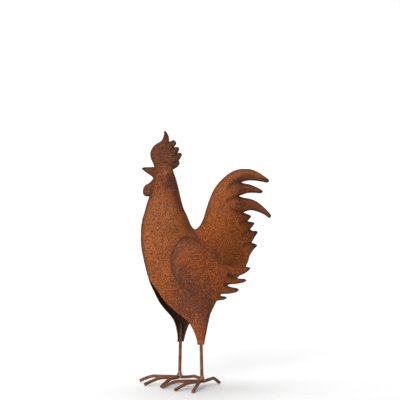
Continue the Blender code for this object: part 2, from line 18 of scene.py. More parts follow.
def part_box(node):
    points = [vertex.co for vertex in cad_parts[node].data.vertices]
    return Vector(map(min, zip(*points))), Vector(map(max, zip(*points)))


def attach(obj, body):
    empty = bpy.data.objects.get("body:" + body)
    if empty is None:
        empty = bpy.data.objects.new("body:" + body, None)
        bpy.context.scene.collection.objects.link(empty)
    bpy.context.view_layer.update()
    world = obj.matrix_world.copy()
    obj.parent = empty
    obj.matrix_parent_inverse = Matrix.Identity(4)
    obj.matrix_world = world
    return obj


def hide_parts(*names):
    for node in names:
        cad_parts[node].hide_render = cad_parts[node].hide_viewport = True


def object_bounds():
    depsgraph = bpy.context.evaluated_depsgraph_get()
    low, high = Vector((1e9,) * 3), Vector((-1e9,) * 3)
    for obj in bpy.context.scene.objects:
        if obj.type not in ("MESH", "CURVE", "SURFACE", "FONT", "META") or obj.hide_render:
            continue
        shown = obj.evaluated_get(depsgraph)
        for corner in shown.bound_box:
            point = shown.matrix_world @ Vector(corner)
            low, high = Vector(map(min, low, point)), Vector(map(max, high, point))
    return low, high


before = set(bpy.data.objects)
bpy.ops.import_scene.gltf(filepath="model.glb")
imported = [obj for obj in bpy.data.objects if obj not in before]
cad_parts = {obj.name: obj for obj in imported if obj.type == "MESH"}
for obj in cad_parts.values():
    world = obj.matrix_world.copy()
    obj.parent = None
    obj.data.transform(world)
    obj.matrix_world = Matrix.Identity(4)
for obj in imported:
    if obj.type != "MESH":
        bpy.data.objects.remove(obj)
CAD_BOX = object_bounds()

# Sizes in metres
HEIGHT = CAD_BOX[1][2]
DRAWN = 468.7  # the same height in drawn units
UNIT = HEIGHT / DRAWN
SHEET = 0.0011  # thickness of the steel sheet
ROD = 0.006  # diameter of the leg and toe rods
HUB_SPACING = 0.067  # between the two legs, at the feet
HUB_HEIGHT = 0.0123  # toe rod centres above the ground, at the leg
TOE_FRONT = 0.073  # leg axis to the end of a front toe
TOE_BACK = 0.050  # leg axis to the end of the back toe
SEAM_GAP = 0.0003  # between the two halves
FOOT_TURN = 10.5  # degrees that each foot is turned outwards
LEG_DRAWN = 33.5  # leg offset from the seam plane, in drawn units
LEG_UNIT = HUB_SPACING / 2 / LEG_DRAWN

# Pressing angles in degrees
SEAM_SLOPE = 50.0
THIGH_SLOPE = 72.0
WING_SLOPE = 40.0
THIGH_TURN = (150.0, 100.0)  # heights from and by which the slope turns into the thigh's
SHARP_EDGE = 55.0  # edges sharper than this aren't smoothed over

# Mesh spacing in drawn units
BODY_STEP = 2.3
WING_STEP = 1.9
EDGE_STEP = 1.8
LINE_STEP = 3.0  # along a pressed line
GRID_FROM_EDGE = 0.5  # as a share of the spacing
INSIDE_ONLY = 1  # the triangulation keeps what the outline encloses
SAME_POINT = 1e-6
SETTLED = 1e-14  # share of the first error at which the spring net is at rest
LEAST_WIDTH = 1e-9  # half width of an arc that is divided by
STEEPEST_WALL = 2.0  # a steep sheet's width across the seam plane, in thicknesses

# Seam outline (x, z), one smooth stretch from corner to corner, clockwise from the front split
SEAM = [
    [(-99, 205), (-105.5, 225), (-109.8, 241), (-113.5, 257), (-114.8, 273), (-114.3, 290),
     (-111.4, 307), (-105.7, 323), (-99.7, 340), (-95.5, 349)],
    [(-95.5, 349), (-102.5, 349), (-108.5, 352), (-110.3, 358), (-108.5, 364.5), (-104, 369.5),
     (-95.3, 374), (-86.7, 381.2)],
    [(-86.7, 381.2), (-88.5, 384.3), (-94.5, 387.8), (-102, 391.8), (-113.5, 399.3)],
    [(-113.5, 399.3), (-108.5, 401.4), (-98, 402.1), (-84.5, 402.6)],
    [(-84.5, 402.6), (-87.3, 409.3), (-91.2, 416), (-93.5, 424.5), (-92, 432), (-85.6, 440.4),
     (-77, 446), (-68.3, 450.6), (-63.9, 457.3), (-62.4, 462.5), (-62.9, 466.4)],
    [(-62.9, 466.4), (-60.6, 468.7), (-57.8, 467.9), (-55, 464.6), (-51.6, 459.5), (-50, 449)],
    [(-50, 449), (-44.5, 451.5), (-38, 452.3), (-33.8, 446.5), (-39.5, 439.3)],
    [(-39.5, 439.3), (-34.5, 440), (-29.6, 439.9), (-26.9, 435.8), (-31.3, 428.8)],
    [(-31.3, 428.8), (-27, 429.8), (-22.9, 429.3), (-20.6, 426), (-27.8, 415.1)],
    [(-27.8, 415.1), (-26, 410), (-31.2, 403.5), (-42, 397.7)],
    [(-42, 397.7), (-34.8, 382), (-27.9, 362), (-22.5, 343), (-16.9, 328), (-8.3, 313),
     (-1.7, 300), (4, 292), (10.5, 288.3), (17.5, 291.5), (24, 298), (31, 310), (38, 328.4),
     (47.3, 348.3), (57.6, 365), (70.6, 377.8), (85.2, 388.6), (101, 396.8), (116.5, 401.2),
     (133.5, 402.4), (149.6, 401.5), (165, 397), (181, 389.6), (194, 382.4), (195.2, 379.3)],
    [(195.2, 379.3), (191, 376.6), (175, 378.3), (158, 379.8), (140, 379.8), (123.5, 376.4)],
    [(123.5, 376.4), (131, 374.8), (146, 372.4), (160, 368.2), (175, 362.6), (179.1, 359)],
    [(179.1, 359), (174.7, 355.8), (158, 356.4), (138, 355.6), (117.5, 350)],
    [(117.5, 350), (131, 347.1), (150, 344.2), (166, 338.3), (180.8, 329.2), (195.8, 317.8),
     (201.2, 311.7)],
    [(201.2, 311.7), (196.5, 307.6), (182.5, 314.2), (165, 320.2), (146, 322.8), (129, 319)],
    [(129, 319), (141, 315.2), (149, 312), (145.3, 307), (139.7, 301.8)],
    [(139.7, 301.8), (150.5, 300.6), (157.4, 298.2), (152.8, 292.2), (146, 286.2)],
    [(146, 286.2), (153, 283.4), (161, 283.4), (165.3, 280.8), (157.4, 270.5), (150, 260.9)],
    [(150, 260.9), (157, 258.8), (164.2, 255.1), (156, 248), (145.6, 236.5), (140.5, 224),
     (131, 209.5), (113, 193.5), (90, 181)],
]
# Open edges of the belly and thigh (x, z, offset from the seam plane)
REAR_EDGE = [(90, 181, 0), (73, 169.5, 6.5), (54, 156, 13), (37.5, 141, 19.5), (26.5, 128, 23.5),
             (16.3, 108, 28), (11, 94, 30), (6.6, 77.6, 30.8)]
FRONT_EDGE = [(-6.8, 77.6, 30.6), (-8, 89, 28.7), (-12, 102, 26.1), (-19.5, 115.7, 23.5),
              (-31.1, 128, 19.6), (-48.2, 141, 15.2), (-66.1, 157.5, 10.6), (-78.4, 174, 7.2),
              (-92.7, 194.3, 3.3), (-99, 205, 0)]

# Places below are (x, z) in drawn units
# Share of the full pressing depth: place, reach, share
BODY_DEPTH = [
    ((-62, 436), 24, 0.52),
    ((-30, 430), 14, 0.60),
    ((-100, 360), 12, 0.70),
    ((-66, 392), 16, 1.20),
    ((-60, 350), 34, 1.08),
    ((-50, 265), 60, 1.15),
    ((110, 240), 55, 0.62),
    ((60, 350), 60, 0.90),
]

# Wing outline (x, z): shoulder, feather tips from the top down, lower edge
WING = [
    [(112.5, 215.4), (101, 217.6), (88, 217), (66, 219.8), (44, 229), (24, 243), (6, 255.5),
     (-7, 263.5), (-18, 269.5), (-30, 274), (-41, 274.3), (-51, 271), (-58.5, 264),
     (-64.5, 254.5), (-68, 244), (-69, 233), (-67.5, 221), (-63.5, 209), (-55.5, 197),
     (-43, 185.5), (-28, 176), (-10, 168.5), (10, 162), (29.4, 157), (43, 156.4), (54, 158),
     (58, 160.8)],
    [(58, 160.8), (53.5, 163.8), (46, 164.8), (36, 169.2)],
    [(36, 169.2), (48, 168.2), (66, 168.8), (79, 171.6), (84, 174.7)],
    [(84, 174.7), (78.5, 178.2), (66, 180.7), (51, 185.6)],
    [(51, 185.6), (60, 185.7), (74, 185.9), (89, 187.2), (98, 189.2), (102.5, 192.4)],
    [(102.5, 192.4), (97, 194.8), (83, 196.2), (61, 201.9)],
    [(61, 201.9), (72, 201.4), (87, 201.8), (100, 206), (108.5, 210.9), (112.5, 215.4)],
]
WING_NOTCHES = [  # where the feathers part: place, reach, rise in drawn units
    ((61, 201.9), 11, 3.6), ((51, 185.6), 10, 3.0), ((36, 169.2), 8, 1.5),
]
WING_TIP_OFFSET = 40.0  # of the feather tips from the seam plane
WING_CLEAR = 1.5  # least distance from the body behind, in sheet thicknesses
WING_FREE = (12.0, 75.0)  # x from which the wing leaves the body, and by which it is clear
WING_STANDS = (-5.0, 25.0)  # x from and by which its sheet lifts off the body
WING_UPPER = (190.0, 210.0)  # heights from and by which a place belongs to its upper half
WING_FEATHERS = (45.0, 70.0)  # x from and by which the dome is lower
WING_ARC_LOSS = 0.4  # share of its arc that is lost there
WING_SINK = 0.4  # of its ground edge into the body's surface
WING_FLANGE = (4.0, 11.0)  # from the edge: the flat border's end, and the full dome
WING_FLANGE_ENDS = (66.0, 36.0)  # x towards the front, along the top edge
WING_LINES_FULL = 5.0  # distance from the edge at which grooves have their full depth
BODY_DENT = 2.4  # of the body's sheet under the wing, out of sight
DENT_FULL = 6.0  # distance inside the wing's edge at which it is that deep
DENT_ENDS = (30.0, 0.0)  # x from and by which it is, towards the front
BODY_WAVES = (0.5, 26.0)  # rise and period of the slow waves of hand-worked sheet
WING_WAVES = (0.5, 22.0)
RELIEF_FROM_ARC = 3.0  # the body's relief fades out where the sheet rises less than this
LEAST_OFFSET = 0.3  # of the skin from the seam plane, away from the outline

# Pressed lines: points, rise, half width
COMB_GROOVE = [(-86, 402), (-81, 406), (-77, 408.6), (-69, 410.3), (-62, 409.8), (-56, 406.5),
               (-49, 404), (-43, 401.5)]
WATTLE_GROOVE = [(-87, 379), (-90, 371), (-93, 363), (-94.5, 353)]
TAIL_GROOVES = [
    [(88, 368), (94, 373), (105, 377), (123.5, 376.4)],
    [(78, 341), (90, 345), (102, 349), (117.5, 350)],
    [(84, 327), (92, 323.5), (106, 321), (129, 319)],
]
SMALL_GROOVES = [
    [(104, 298), (118, 301.5), (139.7, 302.5)],
    [(112, 274), (124, 281), (146, 287)],
    [(118, 256.5), (131, 260), (150, 261.5)],
]
LOBE_GROOVES = [
    [(-62, 446), (-56, 446.5), (-50, 449)],
    [(-52, 434), (-46, 436.5), (-39.5, 439.3)],
    [(-48, 422), (-41, 425.5), (-31.3, 428.8)],
    [(-44, 410), (-38, 412.5), (-27.8, 415.1)],
]
BODY_LINES = [
    (COMB_GROOVE, -2.9, 2.6),
    (WATTLE_GROOVE, -2.0, 2.2),
    ([(-101, 368), (-96, 363), (-98, 354)], 1.0, 2.0),
    ([(-86, 397), (-80, 394), (-76, 395)], -1.4, 2.8),
    *[(line, -3.4, 4.0) for line in TAIL_GROOVES],
    *[(line, -2.0, 3.2) for line in SMALL_GROOVES],
    *[(line, -1.2, 2.0) for line in LOBE_GROOVES],
]
WING_LINES = [
    ([(-14, 212), (8, 209), (32, 205), (61, 202)], -1.1, 3.0),
    ([(-24, 196), (-4, 195), (20, 191), (51, 185.5)], -1.2, 3.0),
    ([(-40, 181), (-14, 182), (10, 180.5), (24, 176), (37, 168.7)], -2.0, 2.8),
]
# Painted shade along the body's grooves and in the slits between the wing's feathers: points,
# strength, half width
BODY_GROOVE_SHADE = [
    (COMB_GROOVE, 0.4, 2.6),
    (WATTLE_GROOVE, 0.45, 2.6),
    *[(line, 0.45, 4.5) for line in TAIL_GROOVES],
    *[(line, 0.6, 3.0) for line in SMALL_GROOVES],
    *[(line, 0.5, 1.8) for line in LOBE_GROOVES],
]
WING_SLIT_SHADE = [
    ([(50, 204.5), (61, 201.9), (72, 199.5)], 1.8, 2.8),
    ([(44, 187.5), (51, 185.6), (56, 185.6)], 1.8, 2.8),
]
EYE = (-69.0, 391.6)
EYE_RADIUS = 2.7
EYE_RISE = 3.4
EYE_MOAT = (2.0, -0.4)  # reach and rise of the hollow round it, as shares of the eye's
# Where a feather is folded along its middle: place, reach, share of the fold
FOLDS = [
    ((160, 390), 34, 1.0),
    ((158, 362), 30, 1.0),
    ((168, 332), 36, 1.0),
    ((152, 300), 18, 0.8),
    ((158, 270), 22, 0.8),
    ((-40, 436), 16, 0.6),
]
# Ridges along the tail feathers, from the root outwards
RIDGES = [
    [(102, 382.7), (107.5, 387.1), (117.1, 390.5), (131.6, 392.4), (146.1, 391.4), (161.6, 387.8),
     (174.6, 383.5)],
    [(104, 361.5), (110.5, 364.3), (129.3, 366.8), (148, 365.7), (159.9, 362.5)],
    [(93.4, 338.3), (111.8, 338.3), (131, 339.4), (146.5, 336.1), (161.6, 330.5), (177.3, 321.6)],
]
RIDGE_RISE = 3.2
RIDGE_WIDTH = 6.0
RIDGE_FROM_EDGE = 5.0  # distance at which a ridge has its full height
FOLD_SLOPE = 0.75
FOLD_REACH = 16.0  # a fold's height stops growing this far from the edge
WING_FOLD = 0.30  # slope of the folds of the wing's feathers
WING_FOLD_REACH = 9.0
WING_FOLD_X = (10.0, 50.0)  # x from and by which they are folded

# Patches of heat-tinted, purple-brown rust, and painted shade down the neck's rear and on the body
# above the wing's upper edge: place, reach, strength
PATINA_AND_SHADE = [
    ((-66, 426), 26, 1.0),
    ((-40, 428), 20, 0.9), ((2, 92), 14, 0.4),
    ((-58, 455), 12, 0.8),
    ((-92, 391), 14, 0.45),
    ((-101, 360), 12, 0.9),
    ((-64, 372), 15, 0.8),
    ((-44, 366), 13, 0.7),
    ((-40, 395), 10, 0.7),
    ((-8, 292), 18, 0.8),
    # painted shade down the rear of the neck
    ((-36, 356), 18, 1.4), ((-24, 330), 18, 1.3), ((-58, 378), 14, 0.5), ((-12, 306), 15, 1.0),
    ((106, 374), 15, 0.7), ((104, 346), 14, 0.5), ((108, 320), 14, 0.6), ((60, 330), 14, 0.4),
    # the last two of these are painted shade on the body above the wing's upper edge
    ((-18, 152), 28, 1.3), ((33, 242), 11, 0.8), ((-4, 266), 10, 0.6),
    ((-42, 180), 24, 1.0),
    ((2, 128), 20, 1.0),
    ((22, 144), 16, 0.7),
]
WING_PATINA = [
    ((-44, 195), 24, 0.9),
    ((-8, 176), 22, 0.8),
    ((-58, 215), 14, 0.7),
]
# Where the rust is paler and greyer, and where it is deeper orange, and a painted highlight on the
# wing's shoulder: place, reach, strength
PALE = [
    ((-90, 320), 40, 0.8), ((-60, 335), 34, 0.5), ((-108, 265), 36, 0.8), ((-62, 392), 20, 0.6),
    ((70, 372), 26, 0.7), ((112, 394), 26, 0.7), ((48, 330), 22, 0.5), ((-70, 220), 30, 0.3),
]
DEEP = [
    ((10, 264), 28, 1.0), ((118, 245), 40, 1.2), ((126, 285), 30, 1.1), ((80, 236), 40, 0.3),
    ((118, 330), 24, 0.6), ((30, 292), 18, 0.8), ((-12, 106), 30, 0.5),
]
WING_DEEP = [
    ((40, 195), 56, 1.2), ((-4, 222), 30, 0.5), ((70, 200), 34, 1.0),
]
# Painted highlight on the upper front shoulder of the wing's dome: place, reach, strength
WING_HIGHLIGHT = [
    ((-40, 262), 11, 0.9), ((-22, 257), 12, 0.7), ((-52, 250), 8, 0.6), ((-30, 240), 16, 0.5),
]
# Where the rust is grey-brown: place, reach, strength
GREY = [
    ((-70, 428), 22, 0.9), ((-46, 428), 18, 1.0), ((-30, 434), 14, 0.8), ((-94, 390), 10, 0.35),
    ((-80, 394.5), 5, 0.9), ((-101, 360), 9, 0.7), ((-66, 370), 10, 0.8), ((-52, 366), 9, 0.6),
    ((-5, 292), 12, 0.6), ((-14, 148), 20, 0.2),
]
WING_GREY = [
    ((-44, 196), 14, 0.15),
]
# A painted highlight on the eye, and small tan spots on the wattle and the comb's ends
TAN_SPOTS_AND_HIGHLIGHT = [
    ((-69.5, 391.4), 3.3, 1.0), ((-100, 369.5), 4.0, 0.6), ((-41, 446.5), 3.5, 0.5),
    ((-32.5, 435.5), 3.0, 0.4), ((-26, 425), 3.0, 0.4),
]
# Sooty ends of feathers, comb lobes and beak, a dark spot in front of the eye, painted shade on
# the eye's rear side and painted shadow of the wing's feathers on the body: place, reach, strength
SOOT_TIPS_AND_SHADE = [
    ((193, 381), 9, 0.7), ((177, 359), 9, 0.7), ((198, 313), 9, 0.7), ((147, 311), 11, 1.1),
    ((155, 298), 11, 1.2), ((163, 281), 12, 1.3), ((162, 255), 12, 1.3), ((-59, 466), 7, 0.8),
    ((-37, 448), 7, 0.3), ((-29, 436), 6, 0.3), ((-22, 426), 6, 0.3), ((-30, 407), 8, 0.4),
    ((-111, 399.3), 7, 0.7), ((-80, 394.5), 5, 0.5), ((-63.5, 387.5), 3.6, 0.9),
    # painted shadow of the wing's feathers on the body behind them
    ((92, 198), 8, 1.0), ((78, 200), 8, 1.1), ((71, 185), 7, 1.0),
]
WING_SOOT_TIPS = [
    ((111, 214.5), 10, 1.0), ((101, 192), 11, 1.0), ((83, 175), 11, 1.0), ((57, 161), 9, 0.9),
]
# Soot and painted shade as darkening from 0 to 1, with reaches and distances in drawn units
SEAM_SOOT, SEAM_SOOT_REACH = 0.9, 3.0
FOLD_SOOT, FOLD_SOOT_REACH = 0.35, 6.0
# Painted shade on the lower face of each tail feather's fold, below its ridge
RIDGE_SHADE = 0.5  # below a tail ridge, at the feather's root
RIDGE_SHADE_LOSS = 0.7  # share of it that is lost by the ridge's outer end
RIDGE_SHADE_STARTS = 2.0  # distance below the ridge at which it is full
RIDGE_SHADE_WIDTH, RIDGE_SHADE_REACH = 3.0, 5.0
JOINT_SOOT, JOINT_SOOT_REACH = 0.8, 2.6  # on the body, along the wing's front
JOINT_POINTS = 24  # how many points of the wing's outline it follows
JOINT_ENDS = (60.0, 20.0)
JOINT_LOSS_BEHIND = 0.2  # where the wing's upper edge runs down behind
JOINT_BEHIND_X, JOINT_BEHIND_Z = (-40.0, -10.0), (215.0, 235.0)
JOINT_LOSS_BELOW, JOINT_BELOW_Z = 0.35, (200.0, 180.0)
WING_SOOT, WING_SOOT_REACH = 0.7, 2.2  # along the wing's edge
WING_SOOT_LOSS = 0.5  # on its top edge, and on its front below
WING_TOP_X = (-50.0, -20.0)
# Purple-brown and grey bands on the wing's flat border, the purple one also painted shade along
# the top edge: distance from the edge, reach
BAND_PURPLE_AT, BAND_PURPLE_REACH = 6.0, 8.0
BAND_PURPLE_LOSS = 0.75  # on the top edge
BAND_GREY_AT, BAND_GREY_REACH = 5.0, 5.0
BAND_GREY = 0.8  # its strength
BAND_GREY_X, BAND_GREY_Z = (-30.0, -45.0), (195.0, 210.0)

# Toes as in the part: name, degrees from straight ahead, length, place of the bend as a share of
# the length, then the arch, the lift at the leg and the lift of the tip in rod diameters
TOES = {
    "left": [("outer", 28.5, TOE_FRONT * 1.06, 0.26, 0.00, -0.20, 0.0),
             ("middle", -1.0, TOE_FRONT, 0.50, -0.13, -0.20, 0.0),
             ("inner", -33.5, TOE_FRONT * 1.04, 0.62, 0.03, -0.15, 0.0),
             ("back", 180.0, TOE_BACK, 0.64, 0.10, -0.40, 0.0)],
    "right": [("outer", 33.0, TOE_FRONT * 1.03, 0.66, 0.07, -0.03, 0.2),
              ("middle", -2.0, TOE_FRONT * 1.02, 0.56, 0.00, -0.13, 0.0),
              ("inner", -35.0, TOE_FRONT, 0.50, 0.00, -0.10, 0.0),
              ("back", 180.0, TOE_BACK, 0.60, -0.23, -0.20, 0.0)],
}
TOE_STEPS = 4
TOE_FALL = 1.6  # power of the curve from the bend down to the tip
TOE_CURL = 0.25  # share by which that curve is pulled down towards the tip
ROD_FLAT = math.cos(math.pi / 8)  # half width over the flats of the part's eight-sided rod
ROD_STEP = 0.0014  # between the rings of a rod
ROD_SIDES = 20
ROD_UNEVEN = 0.03  # share of the radius by which a rod's skin waves
ROD_CHAMFER = 0.0005

# The brazed fillets and the weld along the seam
WELD_HEIGHT = 0.0112
WELD_RADIUS = 0.0066
WELD_TOP = 1.04  # its radius at the top, as a share of the rod's
WELD_FLARE = 1.6  # power of the curve of its side
WELD_RUN = 0.0035  # how far the metal runs out along each toe
WELD_RUN_SPREAD = 16.0  # degrees to each side of the toe
WELD_SIDES, WELD_RINGS = 48, 14
WELD_LUMPS, WELD_LUMP_SIZE = 0.0005, 0.0022
WELD_LUMPS_BELOW = 0.2  # share of the lumps that only fades upwards
WELD_LUMPS_RUN = 1.02  # the others end this much sooner than the top
SEAM_BEAD = 0.0006  # radius of the bead along the seam
BEAD_INSIDE = 0.9  # its distance inside the outline, in its own radii
BEAD_SIDES = 8
BEAD_LUMPS, BEAD_LUMP_SIZE = 0.35, 0.003
BEAD_UNEVEN = 0.1

# Colours, linear
ORANGE = (0.41, 0.104, 0.020)
BROWN = (0.24, 0.056, 0.013)
# also the painted highlight on the wing's shoulder
PALE_RUST_AND_HIGHLIGHT = (0.36, 0.118, 0.052)
DEEP_RUST = (0.27, 0.060, 0.009)
SPECK = (0.075, 0.022, 0.010)
GRAIN = (0.58, 0.21, 0.075)
# also painted shade on the neck's rear, on the body above the wing and along the wing's top edge
PURPLE = (0.132, 0.041, 0.025)
GREY_RUST = (0.155, 0.073, 0.046)
# also the eye's painted highlight
TAN = (0.30, 0.155, 0.066)
# painted shade for the inner skins of the hollow shell and for the legs inside the thighs
INSIDE_SHADE = (0.040, 0.026, 0.022)
# soot on edges and tips, and painted shade in grooves, slits and below ridges
EDGE_SOOT_AND_SHADE = (0.072, 0.040, 0.028)
ROD_LIGHT = (0.235, 0.098, 0.052)
ROD_DARK = (0.120, 0.052, 0.032)
GOLD = (0.50, 0.27, 0.09)
COPPER = (0.44, 0.17, 0.065)
FLOOR = (0.95, 0.95, 0.95)
FLOOR_DARK = (0.88, 0.88, 0.88)
# a leg's painted shade where it runs up inside the thigh
ROD_SHADE_Z = (0.084, 0.108)  # heights where a leg darkens in the thigh
SHEET_PITS = 0.00022  # depths of the pitted surfaces
ROD_PITS = 0.00012
BRAZE_PITS = 0.0002

# Camera, at the photograph's angle
CAMERA_AT = (-1.497, -1.876, 0.3427)
CAMERA_TURN = math.radians(39.0)
FORWARD = Vector((math.sin(CAMERA_TURN), math.cos(CAMERA_TURN), 0))
RIGHT = Vector((math.cos(CAMERA_TURN), -math.sin(CAMERA_TURN), 0))
LENS = 116.64
SENSOR = 36.0

# Floor, as distances from the figure along the camera's view, and lights
FLOOR_FRONT = -0.4
SWEEP_FROM = 1.6  # where the floor starts to sweep up
SWEEP_RADIUS = 1.2
SWEEP_STEPS = 16
WALL_TOP = 5.0
FLOOR_HALF_WIDTH = 1.2
SKY_STRENGTH = 0.13
FIGURE_CENTRE = (0.0, 0.0, 0.25)
LIGHTS = [  # name, place, target, size, power in watts
    ("key", (-2.5, -1.6, 1.4), FIGURE_CENTRE, 1.7, 84),
    ("fill", (-0.6, -3.2, 1.2), FIGURE_CENTRE, 1.6, 3),
    ("backdrop_light", (0.7, 0.95, 3.0), (1.3, 1.65, 0.0), 2.8, 84),
]

SIDES = ((-1, "left"), (1, "right"))
# Outer skin of a sheet: places (x, z), triangles, offset from the seam plane, the outline points
# that lie on the seam, how many points the outline has, and the paint masks
Skin = namedtuple("Skin", "points faces height closed rim_count masks")


def smooth_stretch(points, step):
    """Points no further apart than step on a curve through the given ones, without the last."""
    pts = [np.array(p, dtype=float) for p in points]
    pts = [2 * pts[0] - pts[1]] + pts + [2 * pts[-1] - pts[-2]]
    out = []
    for before, start, end, after in zip(pts, pts[1:], pts[2:], pts[3:]):
        knots = [0.0]
        for one, two in ((before, start), (start, end), (end, after)):
            knots.append(knots[-1] + math.sqrt(np.linalg.norm((two - one)[:2])))
        t0, t1, t2, t3 = knots
        count = max(1, math.ceil(np.linalg.norm((end - start)[:2]) / step))
        for i in range(count):
            t = t1 + (t2 - t1) * i / count
            a1 = (t1 - t) / (t1 - t0) * before + (t - t0) / (t1 - t0) * start
            a2 = (t2 - t) / (t2 - t1) * start + (t - t1) / (t2 - t1) * end
            a3 = (t3 - t) / (t3 - t2) * end + (t - t2) / (t3 - t2) * after
            b1 = (t2 - t) / (t2 - t0) * a1 + (t - t0) / (t2 - t0) * a2
            b2 = (t3 - t) / (t3 - t1) * a2 + (t - t1) / (t3 - t1) * a3
            out.append((t2 - t) / (t2 - t1) * b1 + (t - t1) / (t2 - t1) * b2)
    return out


def outline_of(stretches):
    """Points along smooth stretches, one after the other."""
    return [point for stretch in stretches for point in smooth_stretch(stretch, EDGE_STEP)]


def line_distance(points, line):
    """Distance of each point from a polyline."""
    best = np.full(len(points), np.inf)
    for start, end in zip(line, line[1:]):
        start = np.array(start, dtype=float)
        run = np.array(end, dtype=float) - start
        share = np.clip((points - start) @ run / (run @ run), 0, 1)
        best = np.minimum(best, np.linalg.norm(points - start - share[:, None] * run, axis=1))
    return best


def edge_distance(points, loop):
    """Distance of each point from a closed loop."""
    return line_distance(points, np.vstack([loop, loop[:1]]))


def inside(points, loop):
    """Which points lie inside a closed loop."""
    found = np.zeros(len(points), dtype=bool)
    x, z = points[:, 0], points[:, 1]
    for (x0, z0), (x1, z1) in zip(loop, np.roll(loop, -1, axis=0)):
        crosses = (z0 > z) != (z1 > z)
        with np.errstate(divide="ignore", invalid="ignore"):
            where = x0 + (z - z0) * (x1 - x0) / (z1 - z0)
        found ^= crosses & (x < where)
    return found


def ramp(values, start, end):
    """0 up to start, rising evenly to 1 at end; start may be the greater one."""
    return np.clip((values - start) / (end - start), 0, 1)


def eased(share):
    """A share between 0 and 1 with a soft start and end."""
    return share * share * (3 - 2 * share)


def bell(distance, reach):
    """1 at distance 0, fading out beyond reach."""
    return np.exp(-(distance / reach) ** 2)


def blobs(points, places):
    """Sum of soft round patches."""
    total = np.zeros(len(points))
    for place, reach, strength in places:
        gap = np.linalg.norm(points - np.array(place, dtype=float), axis=1)
        total += strength * bell(gap, reach)
    return total


def pressed_lines(points, lines):
    """Sum of soft lines."""
    total = np.zeros(len(points))
    for line, strength, width in lines:
        fine = smooth_stretch(line, LINE_STEP) + [line[-1]]
        total += strength * bell(line_distance(points, fine), width)
    return total


def smooth_share(points, places):
    """Share of the full depth at each point: 1 away from the named places."""
    total = np.ones(len(points))
    for place, reach, share in places:
        total *= 1 + blobs(points, [(place, reach, share - 1)])
    return total


def unevenness(points, height, rise, period):
    """Slow waves of hand-worked sheet."""
    return rise * np.array([noise.noise(Vector((x / period, z / period, y / period)))
                            for (x, z), y in zip(points, height)])


def doubled_area(points, faces):
    a, b, c = points[faces[:, 0]], points[faces[:, 1]], points[faces[:, 2]]
    return (b[:, 0] - a[:, 0]) * (c[:, 1] - a[:, 1]) - (b[:, 1] - a[:, 1]) * (c[:, 0] - a[:, 0])


def fill_outline(loop, step):
    """Triangles that fill a closed loop with a regular spread of points."""
    low, high = loop.min(axis=0), loop.max(axis=0)
    row = step * math.sqrt(3) / 2
    i, j = np.meshgrid(np.arange(int((high[0] - low[0]) / step) + 2),
                       np.arange(int((high[1] - low[1]) / row) + 2))
    grid = np.stack([low[0] + (i + 0.5 * (j % 2)) * step, low[1] + j * row], axis=-1)
    grid = grid.reshape(-1, 2)
    grid = grid[inside(grid, loop)]
    grid = grid[edge_distance(grid, loop) > GRID_FROM_EDGE * step]
    points = np.vstack([loop, grid])
    count = len(loop)
    ring = [(k, (k + 1) % count) for k in range(count)]
    rim = {frozenset(pair) for pair in ring}
    while True:
        result = delaunay_2d_cdt([Vector(p) for p in points], ring, [], INSIDE_ONLY, SAME_POINT)
        faces = np.array([list(face) for face in result[2]])
        # An edge that joins two points of the outline across the sheet gets a point of its own
        split = set()
        for face in faces[(faces < count).sum(axis=1) > 1].tolist():
            for k in range(3):
                pair = frozenset((face[k], face[(k + 1) % 3]))
                if max(pair) < count and pair not in rim:
                    split.add(pair)
        if not split:
            break
        middles = [points[list(pair)].mean(axis=0) for pair in sorted(split, key=sorted)]
        points = np.vstack([points, middles])
    flip = doubled_area(points, faces) < 0
    faces[flip] = faces[flip][:, ::-1]
    return points, faces


def springs_of(points, faces):
    """Springs (ends and strength) and area share of a triangle mesh, for a stretched skin."""
    ends, strength = [], []
    share = np.zeros(len(points))
    for corner in range(3):
        i, j, k = faces[:, corner], faces[:, (corner + 1) % 3], faces[:, (corner + 2) % 3]
        one, two = points[j] - points[i], points[k] - points[i]
        cross = np.abs(one[:, 0] * two[:, 1] - one[:, 1] * two[:, 0])
        ends.append(np.stack([j, k]))
        strength.append(0.5 * (one * two).sum(axis=1) / cross)
        share += np.bincount(i, cross / 6, len(points))
    return np.hstack(ends), np.hstack(strength), share


def settle(springs, free, load, held_values):
    """Rest position of the free points of a spring net, by the conjugate gradient method."""
    (one, two), strength = springs
    count = len(load)

    def pull(x):
        force = strength * (x[one] - x[two])
        return np.bincount(one, force, count) - np.bincount(two, force, count)

    weight = np.bincount(one, strength, count) + np.bincount(two, strength, count)
    x = held_values.copy()
    rest = (load - pull(x)) * free
    scaled = rest / weight
    step = scaled.copy()
    size = rest @ scaled
    first = size
    while size > first * SETTLED:
        answer = pull(step) * free
        move = size / (step @ answer)
        x += move * step
        rest -= move * answer
        scaled = rest / weight
        last, size = size, rest @ scaled
        step = scaled + size / last * step
    return x


def slope_of(points, faces, values):
    """Slope of a value at each point, averaged over the triangles round it."""
    a, b, c = points[faces[:, 0]], points[faces[:, 1]], points[faces[:, 2]]
    twice = doubled_area(points, faces)
    va, vb, vc = (values[faces[:, n]][:, None] for n in range(3))
    edges = va * (c - b) + vb * (a - c) + vc * (b - a)
    count = len(points)
    total = np.zeros((count, 2))
    weight = np.zeros(count)
    for corner in range(3):
        total[:, 0] -= np.bincount(faces[:, corner], edges[:, 1], count)
        total[:, 1] += np.bincount(faces[:, corner], edges[:, 0], count)
        weight += np.bincount(faces[:, corner], twice, count)
    return total / weight[:, None]


